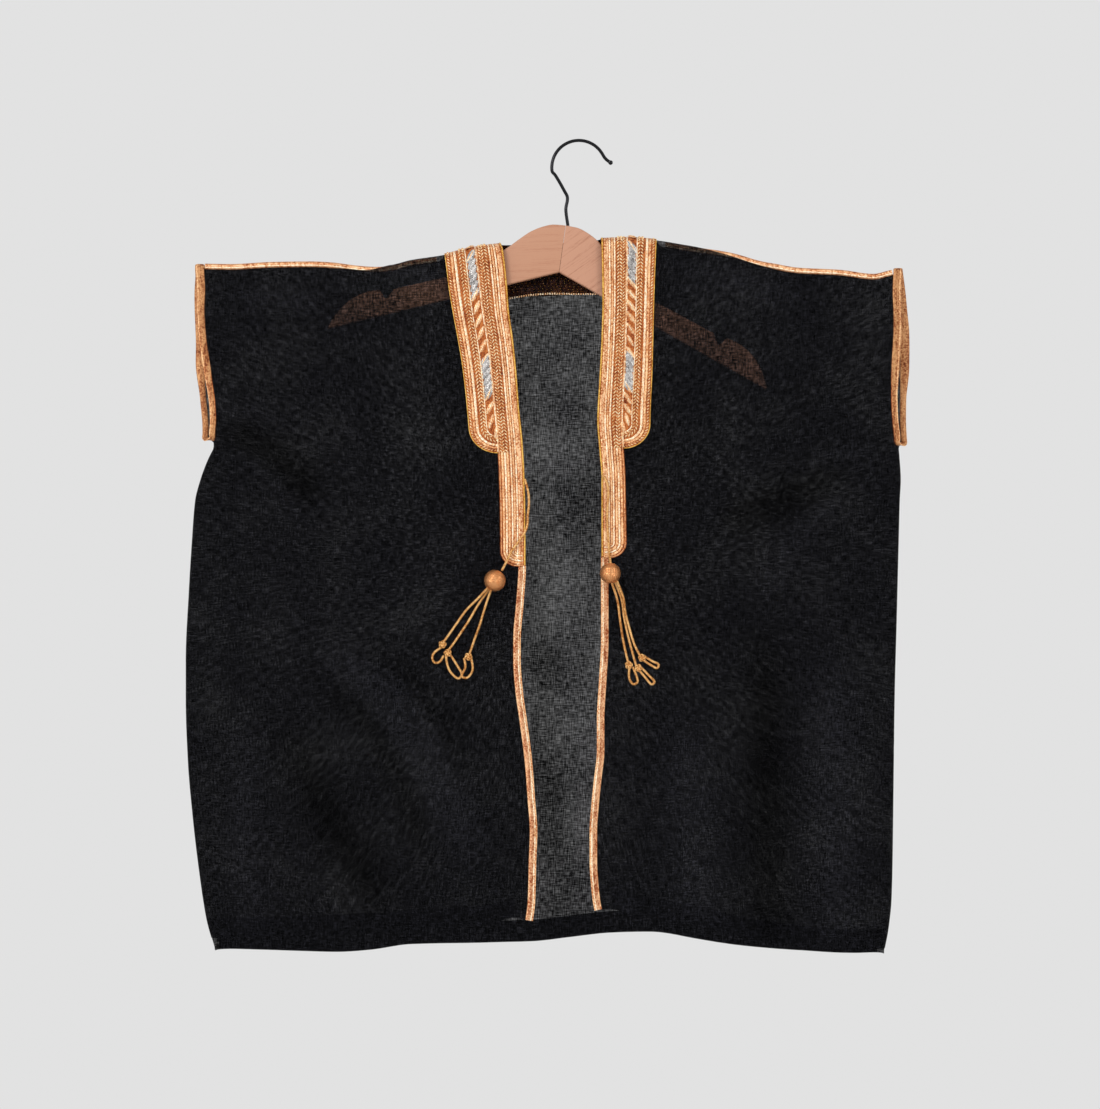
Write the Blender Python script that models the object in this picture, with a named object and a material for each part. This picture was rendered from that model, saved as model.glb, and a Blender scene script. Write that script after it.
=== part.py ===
"""Bisht cloak hanging on a bent beech hanger.

Frame: metres, +Z up, the cloak's front faces -Y. The origin is the inner top of
the hanger's hook, where a rail carries it. Tables below are in millimetres.

The cloak is a flat tube of two cloth layers: one back panel and two front
panels, closed by shoulder and side seams, with grown-on sleeves that end at the
cuff bindings. Each panel is a grid of points, a wall is raised on both sides of
it, and bands and hems are laid on the same points, moved out.
"""
import math

import bmesh
import bpy
import numpy as np

MM = 0.001

# Cloth and trims, millimetres
CLOTH_WALL = 1.2
SEAM_GAP = 0.3
EDGE_GAP = 1.1                 # between a panel's edge and the piping or binding along it
BAND_WALL = 1.5
BAND_GAP = 0.6
HEM_WALL = 1.0
CUFF_TURN_GAP = 2.2            # more of it where the cuff's binding turns under the arm
PIPING_WIDTH = 7.7
PIPING_THICK = 3.0
SHOULDER_PIPING_SIZE = 5.2
ROLLED_DROP, ROLLED_BACK = 0.9, 4.2     # shift of the shoulder piping where it has rolled back
CUFF_WIDTH = 9.0
CUFF_THICK = 3.0
TUBE_SIDES = 8

# Hanger, millimetres; its own frame has its origin between the two arms
HANGER_CENTRE = (-15.9, -103.4)
HANGER_TILT = math.radians(7.9)
HANGER_THICK = 12.0
HANGER_ROUND = 2.2
WIRE_DIAMETER = 3.2
WIRE_END_SWELL = 1.5
WIRE_FOOT_ON_HANGER = 2.2       # how far from the middle the wire enters the wood

# Tie cords, millimetres
CORD_DIAMETER = 2.2
CORD_STEP = 6.0
LEFT_BALL = {"x": -81.0, "y": -26.6, "z": -425.0, "radius": 10.5}
RIGHT_BALL = {"x": 30.0, "y": -26.6, "z": -418.0, "radius": 10.2}
KNOT_RADIUS = 4.2

# Outlines seen from the front. Side lines, front edges and guides: (z, x)
LEFT_SIDE = [(-297, -354), (-309, -360), (-328, -367), (-348, -372), (-386, -375), (-435, -378),
             (-502, -381), (-541, -381), (-599, -379), (-657, -374), (-715, -367), (-753, -361),
             (-782, -353)]
RIGHT_SIDE = [(-297, 310), (-309, 311), (-327, 312), (-348, 311), (-386, 310), (-464, 308),
              (-541, 306), (-618, 305), (-696, 304), (-734, 303), (-763, 300), (-784, 296)]
LEFT_FRONT_EDGE = [(-99, -76), (-105, -73), (-138, -69), (-164, -67), (-193, -63), (-222, -60), (-261, -57),
                   (-290, -54), (-324, -52), (-367, -51), (-411, -51), (-444, -53), (-483, -56), (-502, -56),
                   (-531, -54), (-560, -50), (-599, -45), (-638, -42), (-667, -40), (-696, -41), (-734, -42),
                   (-758, -45)]
RIGHT_FRONT_EDGE = [(-96, 21), (-155, 22), (-193, 21), (-232, 19), (-270, 17), (-299, 19), (-327, 21),
                    (-406, 21), (-483, 21), (-522, 19), (-560, 17), (-589, 17), (-618, 14), (-638, 12),
                    (-667, 10), (-696, 10), (-715, 11), (-734, 13), (-749, 16)]
LEFT_BAND_EDGE = [(-109, -130), (-135, -127), (-155, -124), (-193, -117), (-217, -113), (-251, -109),
                  (-290, -106), (-411, -103), (-502, -107), (-599, -97), (-667, -91), (-760, -96)]
RIGHT_BAND_EDGE = [(-95, 75), (-145, 73), (-222, 71), (-272, 69), (-411, 73), (-502, 72), (-599, 67),
                   (-667, 62), (-760, 67)]

# Shoulder line, hems and back neck: (x, z)
SHOULDER = [(-368, -118), (-337, -118.5), (-298, -116.5), (-260, -116), (-225, -118), (-196, -120),
            (-181, -118.5), (-163, -114), (-130, -109), (-105, -103), (-76, -99), (-28, -97), (21, -94),
            (49, -93), (75, -95), (107, -100), (146, -106), (185, -117), (213, -122), (252, -124),
            (286, -128), (300, -125), (311, -122)]
BACK_HEM = [(-353, -781), (-308, -782), (-241, -784), (-202, -781), (-163, -776), (-105, -775),
            (-47, -773), (-9, -769), (30, -765), (69, -764), (117, -771), (165, -778), (213, -782),
            (271, -785), (296, -784)]
LEFT_HEM = [(-354, -771), (-318, -769), (-250, -767), (-183, -764), (-134, -760), (-96, -758), (-81, -755),
            (-62, -750), (-49, -754)]
RIGHT_HEM = [(14, -743), (32, -742), (44, -745), (69, -749), (117, -758), (165, -771), (204, -776),
             (252, -780), (297, -781)]

# Cuff loops: (z, x of the binding's middle in front, the same at the back, half the loop's depth)
LEFT_CUFF = [(-124, -367.5, -367.5, 3.0), (-145, -366, -369, 5.6), (-164, -366, -369, 6.9),
             (-193, -364, -368, 7.8), (-219, -360, -368, 8.0), (-251, -355, -365, 7.2),
             (-270, -354, -363, 5.8), (-282, -355, -362.5, 4.0)]
RIGHT_CUFF = [(-128, 309, 310.5, 3.0), (-145, 308, 313, 5.6), (-164, 308, 315, 6.9),
              (-185, 308, 317, 7.8), (-219, 306, 317, 8.0), (-246, 305, 315.5, 7.2),
              (-270, 306, 315, 5.8), (-286, 308, 315.5, 4.0)]
LEFT_CUFF_BOTTOM, RIGHT_CUFF_BOTTOM = -289.5, -294.5

# Half depth of the body away from its seams: (z, half depth)
BODY_DEPTH = [(-90, 9.8), (-160, 9.8), (-290, 11.5), (-420, 14.0), (-520, 15.2), (-640, 16.0),
              (-790, 17.0)]
NECK_LEFT, NECK_RIGHT, NECK_CORNER = -76.0, 21.0, 14.0
LEFT_BAND_END, RIGHT_BAND_END = -411.8, -403.6
BAND_TOP_LEFT, BAND_TOP_RIGHT = -130.0, 75.0
OVER_HANGER_ROUND = 8.0
SLEEVE_RIDGE_ROUND = 45.0
SIDE_ROUND = 22.0

# Folds: a line from (x0, z0) to (x1, z1), half width and height, which is positive when it stands out
FRONT_FOLDS = [
    {"x0": -346, "z0": -275, "x1": -250, "z1": -348, "width": 24, "height": -3.5},   # left armpit
    {"x0": -239, "z0": -493, "x1": -101, "z1": -700, "width": 28, "height": 5.0},    # long left diagonal
    {"x0": -285, "z0": -560, "x1": -190, "z1": -740, "width": 28, "height": -3.5},
    {"x0": 256, "z0": -317, "x1": 138, "z1": -372, "width": 26, "height": -3.5},     # right armpit
    {"x0": 104, "z0": -560, "x1": 116, "z1": -765, "width": 28, "height": 4.0},
    {"x0": 178, "z0": -470, "x1": 184, "z1": -775, "width": 28, "height": -3.5},
    {"x0": 246, "z0": -500, "x1": 250, "z1": -780, "width": 26, "height": 4.0},
]
BACK_FOLDS = [
    {"x0": -300, "z0": -360, "x1": -280, "z1": -780, "width": 28, "height": 4.0},
    {"x0": -215, "z0": -420, "x1": -205, "z1": -780, "width": 26, "height": -4.0},
    {"x0": -130, "z0": -300, "x1": -120, "z1": -775, "width": 28, "height": 4.0},
    {"x0": -45, "z0": -330, "x1": -30, "z1": -770, "width": 24, "height": -3.5},
    {"x0": 40, "z0": -260, "x1": 60, "z1": -765, "width": 28, "height": 4.0},
    {"x0": 140, "z0": -380, "x1": 135, "z1": -775, "width": 26, "height": -4.0},
    {"x0": 225, "z0": -360, "x1": 235, "z1": -780, "width": 28, "height": 4.0},
]

# Grid lines: shares of the panel's height, of the band's width, and of the cloth beside it.
# The back's middle columns are close together where its neck turns down.
ROWS = [0, .0012, .004, .0085, .016, .03, .052, .073, .12, .165, .21, .252, .266, .288, .31, .35, .41,
        .4765, .483, .54, .60, .66, .72, .78, .84, .90, .9695, 1]
WIDE_BAND_ROW, PIPING_ROW, HEM_ROW, NECK_BAND_ROW = .31, .4845, .9695, .073
BAND_ROW_GAP = .0012                            # between the wide band's foot and the narrow band
BACK_HEM_ROW, HEM_END = .9715, .9995
BAND_COLUMNS = [0, .16, .32, .48, .74, 1]
BODY_COLUMNS = [.12, .25, .38, .51, .64, .77, .88]
SIDE_COLUMNS = [16, 8.5, 4, 1.4, 0]             # millimetres from the side edge
BACK_LEFT_COLUMNS = [.88, .73, .57, .42, .28, .14, .025]
BACK_RIGHT_COLUMNS = [.03, .16, .33, .52, .70, .86]
BACK_MIDDLE_COLUMNS = [-130, -103, -76, -73, -68.5, -61, -28, 6, 13.5, 18, 21, 48, 75]    # x

# Rounded lower ends of the bands: (share of the panel's height, band column that the outer edge reaches)
WIDE_BAND_END = [(.262, 5.0), (.277, 4.88), (.290, 4.60), (.302, 3.95), (.3094, 3.05)]
NARROW_BAND_END = [(.452, 3.0), (.463, 2.75), (.471, 2.1), (.4765, 1.1)]

# Half of the hanger's outline in its own frame: (distance from the middle, height)
HANGER_TOP = [(0.15, 22.3), (6, 22.1), (12, 21.6), (21.5, 18.3), (32, 12.4), (43, 2.8), (50.5, -4.6),
              (57, -10.2), (70, -21), (84, -32), (97, -39.5), (110, -44), (156.5, -61.5)]
HANGER_NOTCH = [(158, -65.5), (163, -68), (168, -66.5)]
HANGER_TIP = [(170, -64.4), (180, -67.2), (189, -71.8), (198, -79), (206, -89), (211.5, -99), (214.6, -108)]
HANGER_FOOT = (0.15, -23.4)

# Hook wire from the wood to its tip: (x, z); the bow is an arc about BOW_CENTRE
BOW_CENTRE = (0.0, -24.6)
WIRE_FOOT = [(-12.6, -66), (-11.2, -57), (-11.4, -52.5), (-14, -47.5), (-19, -38.5), (-23, -32)]
BOW_ANGLES = [188, 172, 156, 140, 124, 107, 90, 73, 57, 44]
WIRE_TAIL = [(22.2, -10.6), (24.6, -14.6), (27.2, -17.4), (30.6, -19.8), (32.8, -21.0)]

# Cord routes, from the exit to the end: (x, y, z)
LEFT_CORDS = {
    "left_tie_cord": [(-52.5, -16.9, -327), (-50.3, -17.1, -334), (-48.6, -17.3, -343), (-48.4, -17.5, -353),
                      (-49.4, -17.7, -362), (-49.8, -17.9, -371), (-52.5, -18.0, -379), (-58, -18.3, -387),
                      (-64.5, -18.6, -396), (-68.5, -20, -404), (-73.2, -24, -413.2)],
    "left_tail_a": [(-89.4, -25, -433.8), (-98, -20.5, -443), (-109, -17.2, -454), (-119, -17.0, -468),
                    (-126, -17.1, -478), (-129.4, -17.2, -482.6)],
    "left_tail_b": [(-88.0, -21.5, -435.2), (-97, -17.6, -448), (-106.5, -17.1, -464), (-117, -17.2, -480),
                    (-124.7, -17.3, -490.7)],
    "left_tail_c": [(-85.5, -24.5, -436.3), (-90, -19, -449), (-95.5, -17.2, -467), (-100.5, -17.2, -481),
                    (-105, -17.4, -494)],
    "left_loop_a": [(-134, -17.2, -490.4), (-139, -17.3, -494), (-141.5, -17.3, -499), (-139.5, -17.3, -504),
                    (-134.5, -17.3, -503.5), (-131.8, -17.3, -499.5)],
    "left_loop_b": [(-128.0, -17.4, -499.8), (-126.5, -17.4, -508), (-122.5, -17.5, -515),
                    (-116.5, -17.5, -519.5), (-113.2, -17.5, -515), (-117.5, -17.5, -507),
                    (-122.3, -17.4, -499.3)],
    "left_loop_c": [(-110.6, -17.5, -502.2), (-109.6, -20.1, -508.5), (-113, -20.3, -517),
                    (-107.5, -20.3, -518.5), (-102.6, -17.6, -511), (-103.6, -17.5, -502.6)],
}
RIGHT_CORDS = {
    "right_tie_cord": [(22.4, -16.9, -323), (26, -17.1, -329), (28, -17.3, -336), (28.2, -17.5, -344),
                       (27.4, -17.7, -355), (27.2, -17.9, -367), (28, -18.2, -383), (29, -19.0, -396),
                       (29.7, -22, -404), (30, -25, -407.1)],
    "right_tail_a": [(32.2, -24.5, -429.2), (37, -19, -444), (39.4, -17.2, -462), (42.6, -17.2, -483),
                     (46.8, -17.4, -502.2)],
    "right_tail_b": [(35.4, -21, -428.3), (41.2, -17.6, -444), (43.4, -17.2, -460), (48.4, -17.2, -483),
                     (54.6, -17.4, -505.6)],
    "right_tail_c": [(37.4, -25.5, -427.8), (42.4, -21.2, -441), (44.6, -20.0, -456), (49, -19.6, -473),
                     (53.5, -18.4, -487), (57.8, -17.5, -495.6)],
    "right_loop_a": [(48.4, -17.5, -512), (48.4, -17.5, -519), (52.2, -17.6, -525), (56.4, -17.6, -522.6),
                     (55.2, -17.6, -516.6), (52.8, -17.6, -510.6)],
    "right_loop_b": [(60.2, -17.5, -514.2), (64.2, -17.6, -519), (69.6, -17.6, -525), (72.6, -17.6, -522.4),
                     (67.4, -17.6, -516.6), (62.6, -17.6, -511.6)],
    "right_loop_c": [(64.6, -17.5, -503.6), (69, -17.5, -506.5), (75, -17.6, -509.5), (76.5, -17.6, -505.8),
                     (70.5, -17.6, -502.8), (65.2, -17.5, -499.6)],
}
KNOTS = {
    "left_knot_a": (-131.6, -18.6, -486.6), "left_knot_b": (-126.6, -18.8, -495.0),
    "left_knot_c": (-106.6, -18.8, -498.4), "right_knot_a": (48.0, -18.8, -506.6),
    "right_knot_b": (57.2, -18.8, -509.4), "right_knot_c": (60.8, -18.9, -499.6),
}

MATERIALS = {
    "voile": {"colour": (0.012, 0.012, 0.014), "roughness": 0.9, "metallic": 0.0},
    "gold_thread": {"colour": (0.50, 0.25, 0.11), "roughness": 0.4, "metallic": 0.3},
    "beech": {"colour": (0.60, 0.33, 0.22), "roughness": 0.5, "metallic": 0.0},
    "wire": {"colour": (0.25, 0.25, 0.26), "roughness": 0.25, "metallic": 1.0},
}


def curve(table, at, column=1):
    """Smooth value of a table's column at a key, by cubic pieces with limited slopes."""
    rows = sorted((row[0], row[column]) for row in table)
    keys = np.array([row[0] for row in rows], float)
    values = np.array([row[1] for row in rows], float)
    at = np.clip(np.asarray(at, float), keys[0], keys[-1])
    steps = np.diff(values) / np.diff(keys)
    slopes = np.empty(len(keys))
    slopes[0], slopes[-1] = steps[0], steps[-1]
    for i in range(1, len(keys) - 1):
        same_way = steps[i - 1] * steps[i] > 0
        slopes[i] = 2 * steps[i - 1] * steps[i] / (steps[i - 1] + steps[i]) if same_way else 0.0
    i = np.clip(np.searchsorted(keys, at, side="right") - 1, 0, len(keys) - 2)
    span = keys[i + 1] - keys[i]
    t = (at - keys[i]) / span
    return ((2 * t**3 - 3 * t**2 + 1) * values[i] + (t**3 - 2 * t**2 + t) * span * slopes[i]
            + (3 * t**2 - 2 * t**3) * values[i + 1] + (t**3 - t**2) * span * slopes[i + 1])


def quarter(share):
    """Rise of a quarter ellipse: 0 at 0, and 1 from 1 on."""
    share = np.clip(share, 0.0, 1.0)
    return np.sqrt(1.0 - (1.0 - share)**2)


def ease(low, high, at):
    t = np.clip((at - low) / (high - low), 0.0, 1.0)
    return t * t * (3 - 2 * t)


def fold_height(folds, x, z):
    """Sum of the folds at a point; each fades out at the ends of its line."""
    total = 0.0
    for fold in folds:
        along = np.array([fold["x1"] - fold["x0"], fold["z1"] - fold["z0"]], float)
        length = np.linalg.norm(along)
        along /= length
        from_start = np.array([x - fold["x0"], z - fold["z0"]])
        run = from_start @ along
        aside = abs(from_start[0] * along[1] - from_start[1] * along[0])
        fade = ease(-0.1 * length, 0.25 * length, run) * (1 - ease(0.85 * length, 1.1 * length, run))
        total += fold["height"] * fade * math.exp(-(aside / fold["width"])**2)
    return total


def piping_roll(x):
    """1 where the shoulder piping has rolled to the back of the ridge, 0 where it sits on it."""
    return float(ease(-238, -214, x) * (1 - ease(166, 192, x)))


def front_rise(x):
    """1 where the front panel comes up past the rolled piping to the top of the ridge."""
    return float(ease(-212, -182, x) * (1 - ease(105, 165, x)))


def under_bands(x):
    """1 between the outer edges of the wide bands at the shoulder, where there is no piping."""
    past_left = ease(BAND_TOP_LEFT - 4, BAND_TOP_LEFT, x)
    past_right = ease(BAND_TOP_RIGHT, BAND_TOP_RIGHT + 4, x)
    return float(past_left * (1 - past_right))


def top_drop(x, is_back):
    """How far a panel's top edge lies under the outline: below the piping, or just its own wall."""
    wall = CLOTH_WALL / 2
    below_piping = SHOULDER_PIPING_SIZE + wall + EDGE_GAP
    if is_back:
        beside = below_piping + ROLLED_DROP * piping_roll(x)
        return beside + (wall - beside) * under_bands(x)
    return below_piping + (wall - below_piping) * front_rise(x)


def ridge_round(x):
    left_rise = ease(BAND_TOP_LEFT - 60, BAND_TOP_LEFT - 5, x)
    right_fall = 1 - ease(BAND_TOP_RIGHT + 5, BAND_TOP_RIGHT + 60, x)
    return SLEEVE_RIDGE_ROUND + (OVER_HANGER_ROUND - SLEEVE_RIDGE_ROUND) * left_rise * right_fall


def cuff_bottom(cuff):
    return LEFT_CUFF_BOTTOM if cuff is LEFT_CUFF else RIGHT_CUFF_BOTTOM


def edge_depth(z, cuff):
    """Half depth at the side edge: the open cuff, then almost nothing at the side seam."""
    open_depth = float(curve(cuff, z, 3))
    closed = 1 - float(ease(cuff_bottom(cuff) - 6, cuff_bottom(cuff) + 9, z))
    return open_depth + (SEAM_GAP / 2 - open_depth) * closed


def depth_at(x, z, below_top, from_side, cuff, is_back):
    """Half depth of the cloak's tube at a point of a panel."""
    folds = BACK_FOLDS if is_back else FRONT_FOLDS
    full = float(curve(BODY_DEPTH, z)) + fold_height(folds, x, z) * float(ease(0, 60, from_side))
    edge = edge_depth(z, cuff)
    body = edge + (full - edge) * float(quarter(from_side / SIDE_ROUND))
    closing = float(quarter(below_top / ridge_round(x)))
    if is_back and NECK_LEFT < x < NECK_RIGHT:
        from_corner = min(x - NECK_LEFT, NECK_RIGHT - x)
        closing = max(closing, float(quarter(from_corner / NECK_CORNER)))
    return max(body * closing, SEAM_GAP / 2)


def side_x(z, side, cuff, leg, inward):
    """A panel's side edge: inside the cuff binding, then along the side seam."""
    bottom = cuff_bottom(cuff)
    turn_gap = CUFF_TURN_GAP * (1 - float(ease(bottom + 2, bottom + 14, z)))
    at_cuff = float(curve(cuff, z, leg)) + inward * (CUFF_WIDTH / 2 + EDGE_GAP + turn_gap)
    at_seam = float(curve(side, z))
    return at_cuff + (at_seam - at_cuff) * (1 - float(ease(bottom - 7, bottom - 1, z)))


def front_x(z, edge, inward):
    """A front panel's free edge: under the bands, then inside the front edge piping."""
    band_end = LEFT_BAND_END if inward < 0 else RIGHT_BAND_END
    beside_piping = float(ease(-band_end, -band_end + 3.5, -z))
    return float(curve(edge, z)) + inward * (0.5 + (PIPING_WIDTH + EDGE_GAP - 0.5) * beside_piping)


def settle(x_of_z, z_of_x):
    """Point where a row line and a column line cross."""
    z = -400.0
    for _ in range(6):
        x = x_of_z(z)
        z = z_of_x(x)
    return x, z


def panel_points(columns, hem, is_back, facing):
    """Grid of a panel's middle surface. A column gives x, the distance to the side edge and its cuff."""
    grid = np.zeros((len(columns), len(ROWS), 3))
    for i, column in enumerate(columns):
        for j, share in enumerate(ROWS):
            def height(x, share=share):
                top = float(curve(SHOULDER, x)) - top_drop(x, is_back)
                return top + (float(curve(hem, x)) - top) * share
            x, z = settle(lambda z, column=column: column(z)[0], height)
            _, from_side, cuff = column(z)
            below_top = float(curve(SHOULDER, x)) - top_drop(x, is_back) - z
            grid[i, j] = (x, facing * depth_at(x, z, below_top, from_side, cuff, is_back), z)
    return grid


def front_columns(side, edge, guide, cuff, inward):
    """Columns of a front panel from its free edge to its side edge; inward is +1 on the left front."""
    columns = []

    def band(z, share):
        start, end = front_x(z, edge, -inward), float(curve(guide, z))
        x = start + (end - start) * share
        return x, abs(x - side_x(z, side, cuff, 1, inward)), cuff

    def body(z, share):
        start, end = float(curve(guide, z)), side_x(z, side, cuff, 1, inward)
        x = start + (end - start) * share
        return x, abs(x - end), cuff

    def rim(z, distance):
        end = side_x(z, side, cuff, 1, inward)
        return end + inward * distance, distance, cuff

    columns += [lambda z, s=s: band(z, s) for s in BAND_COLUMNS]
    columns += [lambda z, s=s: body(z, s) for s in BODY_COLUMNS]
    columns += [lambda z, d=d: rim(z, d) for d in SIDE_COLUMNS]
    return columns


def back_columns():
    """Columns of the back panel from the left side to the right side."""
    columns = []

    def rim(z, distance, side, cuff, inward):
        return side_x(z, side, cuff, 2, inward) + inward * distance, distance, cuff

    def body(z, share, side, cuff, inward, guide):
        end = side_x(z, side, cuff, 2, inward)
        x = guide + (end - guide) * share
        return x, abs(x - end), cuff

    def middle(z, x):
        from_left = x - side_x(z, LEFT_SIDE, LEFT_CUFF, 2, 1)
        from_right = side_x(z, RIGHT_SIDE, RIGHT_CUFF, 2, -1) - x
        return x, min(from_left, from_right), LEFT_CUFF

    left = (LEFT_SIDE, LEFT_CUFF, 1)
    right = (RIGHT_SIDE, RIGHT_CUFF, -1)
    columns += [lambda z, d=d: rim(z, d, *left) for d in reversed(SIDE_COLUMNS)]
    columns += [lambda z, s=s: body(z, s, *left, BAND_TOP_LEFT) for s in BACK_LEFT_COLUMNS]
    columns += [lambda z, x=x: middle(z, x) for x in BACK_MIDDLE_COLUMNS]
    columns += [lambda z, s=s: body(z, s, *right, BAND_TOP_RIGHT) for s in BACK_RIGHT_COLUMNS]
    columns += [lambda z, d=d: rim(z, d, *right) for d in SIDE_COLUMNS]
    return columns


def outward(grid, facing):
    """Unit normals of a grid, turned to the panel's outer side."""
    normals = np.cross(np.gradient(grid, axis=0), np.gradient(grid, axis=1))
    normals /= np.linalg.norm(normals, axis=2, keepdims=True)
    middle = normals[grid.shape[0] // 2, grid.shape[1] // 2, 1]
    return normals * (1.0 if middle * facing > 0 else -1.0)


def sample(grid, i, j):
    """Point of a grid at a fractional column and row."""
    i0, j0 = min(int(i), grid.shape[0] - 2), min(int(j), grid.shape[1] - 2)
    a, b = i - i0, j - j0
    return ((1 - a) * (1 - b) * grid[i0, j0] + a * (1 - b) * grid[i0 + 1, j0]
            + (1 - a) * b * grid[i0, j0 + 1] + a * b * grid[i0 + 1, j0 + 1])


def row_index(share):
    return float(np.interp(share, ROWS, range(len(ROWS))))


def keep_side(points, facing):
    """Keep a panel's points on its own side of the seam plane."""
    limit = facing * SEAM_GAP / 2
    held_back = np.maximum if facing > 0 else np.minimum
    points[..., 1] = held_back(points[..., 1], limit)
    return points


def new_object(name, vertices, faces, material):
    mesh = bpy.data.meshes.new(name)
    mesh.from_pydata([tuple(float(c) * MM for c in vertex) for vertex in vertices], [], faces)
    mesh.update()
    bm = bmesh.new()
    bm.from_mesh(mesh)
    bmesh.ops.recalc_face_normals(bm, faces=bm.faces)
    bm.to_mesh(mesh)
    bm.free()
    mesh.shade_smooth()
    mesh.set_sharp_from_angle(angle=math.radians(40))
    mesh.materials.append(material)
    thing = bpy.data.objects.new(name, mesh)
    bpy.context.collection.objects.link(thing)
    return thing


def wall(name, outer, inner, material):
    """Closed wall between two grids of the same size, all in triangles."""
    columns, rows = outer.shape[:2]
    count = columns * rows
    vertices = list(outer.reshape(-1, 3)) + list(inner.reshape(-1, 3))

    def at(i, j, layer=0):
        return layer * count + i * rows + j

    faces = []
    for i in range(columns - 1):
        for j in range(rows - 1):
            for layer in (0, 1):
                a, b = at(i, j, layer), at(i + 1, j, layer)
                c, d = at(i + 1, j + 1, layer), at(i, j + 1, layer)
                triangles = [(a, b, c), (a, c, d)]
                faces += triangles if layer == 0 else [t[::-1] for t in triangles]
    rim = ([(i, 0) for i in range(columns)] + [(columns - 1, j) for j in range(1, rows)]
           + [(i, rows - 1) for i in range(columns - 2, -1, -1)] + [(0, j) for j in range(rows - 2, 0, -1)])
    for k, here in enumerate(rim):
        there = rim[(k + 1) % len(rim)]
        a, b, c, d = at(*here), at(*there), at(*there, 1), at(*here, 1)
        faces += [(b, a, d), (b, d, c)]
    return new_object(name, vertices, faces, material)


def panel(name, grid, normals, facing, material):
    half = CLOTH_WALL / 2
    outer = keep_side(grid + normals * half, facing)
    inner = keep_side(grid - normals * half, facing)
    return wall(name, outer, inner, material)


def lay(name, grid, normals, facing, places, lift, thick, material):
    """Piece laid on a panel's points: places are rows of (column, row) pairs of equal length."""
    points = np.array([[sample(grid, i, j) for i, j in line] for line in places])
    ups = np.array([[sample(normals, i, j) for i, j in line] for line in places])
    inner = keep_side(points + ups * lift, facing)
    outer = keep_side(points + ups * (lift + thick), facing)
    return wall(name, outer, inner, material)


def band_places(start, end_table, last_column):
    """Rows of a band: its top, rows at the panel's own rows, then the rounded lower end."""
    shares = [start] + [share for share in ROWS if start < share < end_table[0][0]]
    ends, reaches = zip(*end_table)
    places = []
    for share in shares + list(ends):
        reach = min(float(np.interp(share, ends, reaches)), last_column)
        row = row_index(share)
        places.append([(reach * k / last_column, row) for k in range(last_column + 1)])
    return places


def smooth_route(points, step, closed=False):
    """Evenly spaced points on a smooth curve through a route."""
    p = np.array(points, float)
    count = len(p)
    dense = []
    for i in range(count if closed else count - 1):
        if closed:
            a, b, c, d = p[i - 1], p[i], p[(i + 1) % count], p[(i + 2) % count]
        else:
            b, c = p[i], p[i + 1]
            a = p[i - 1] if i else 2 * b - c
            d = p[i + 2] if i + 2 < count else 2 * c - b
        for k in range(12):
            t = k / 12
            dense.append(0.5 * (2 * b + (c - a) * t + (2 * a - 5 * b + 4 * c - d) * t**2
                                + (3 * b - a - 3 * c + d) * t**3))
    dense.append(p[0] if closed else p[-1])
    dense = np.array(dense)
    run = np.concatenate([[0], np.cumsum(np.linalg.norm(np.diff(dense, axis=0), axis=1))])
    pieces = max(3, round(run[-1] / step))
    at = np.linspace(0, run[-1], pieces + 1)
    even = np.stack([np.interp(at, run, dense[:, k]) for k in range(3)], axis=1)
    return even[:-1] if closed else even


def flat_tube(name, path, widths, width_axis, thick, material, closed=False):
    """Tube of oval section: its width runs along width_axis, square to the path."""
    count = len(path)
    rings = []
    for i, point in enumerate(path):
        if closed:
            along = path[(i + 1) % count] - path[i - 1]
        else:
            along = path[min(i + 1, count - 1)] - path[max(i - 1, 0)]
        along = along / np.linalg.norm(along)
        wide = np.array(width_axis, float) - along * np.dot(width_axis, along)
        wide /= np.linalg.norm(wide)
        up = np.cross(wide, along)
        width = widths[i] if isinstance(widths, (list, np.ndarray)) else widths
        for k in range(TUBE_SIDES):
            angle = 2 * math.pi * (k + 0.5) / TUBE_SIDES
            rings.append(point + wide * math.cos(angle) * width / 2 / math.cos(math.pi / TUBE_SIDES)
                         + up * math.sin(angle) * thick / 2 / math.cos(math.pi / TUBE_SIDES))
    faces = []
    for i in range(count if closed else count - 1):
        j = (i + 1) % count
        for k in range(TUBE_SIDES):
            m = (k + 1) % TUBE_SIDES
            a, b = i * TUBE_SIDES + k, i * TUBE_SIDES + m
            c, d = j * TUBE_SIDES + m, j * TUBE_SIDES + k
            faces += [(a, b, c), (a, c, d)]
    if not closed:
        last = (count - 1) * TUBE_SIDES
        faces.append(tuple(range(TUBE_SIDES))[::-1])
        faces.append(tuple(last + k for k in range(TUBE_SIDES)))
    return new_object(name, rings, faces, material)


def cuff_loop(name, cuff, top_z, top_x, material):
    """Closed binding round a sleeve's opening, 9 mm wide along X."""
    front = [(row[1], -row[3], row[0]) for row in cuff]
    back = [(row[2], row[3], row[0]) for row in cuff][::-1]
    low = cuff_bottom(cuff) + CUFF_THICK / 2
    front_x_low, back_x_low = front[-1][0], back[0][0]
    bottom = [(front_x_low, -2.4, low + 1.4), ((front_x_low + back_x_low) / 2, 0.0, low),
              (back_x_low, 2.4, low + 1.4)]
    top = [(top_x, 0.0, top_z - CUFF_THICK / 2)]
    path = smooth_route(front + bottom + back + top, 11.0, closed=True)
    return flat_tube(name, path, CUFF_WIDTH, (1, 0, 0), CUFF_THICK, material, closed=True)


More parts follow.
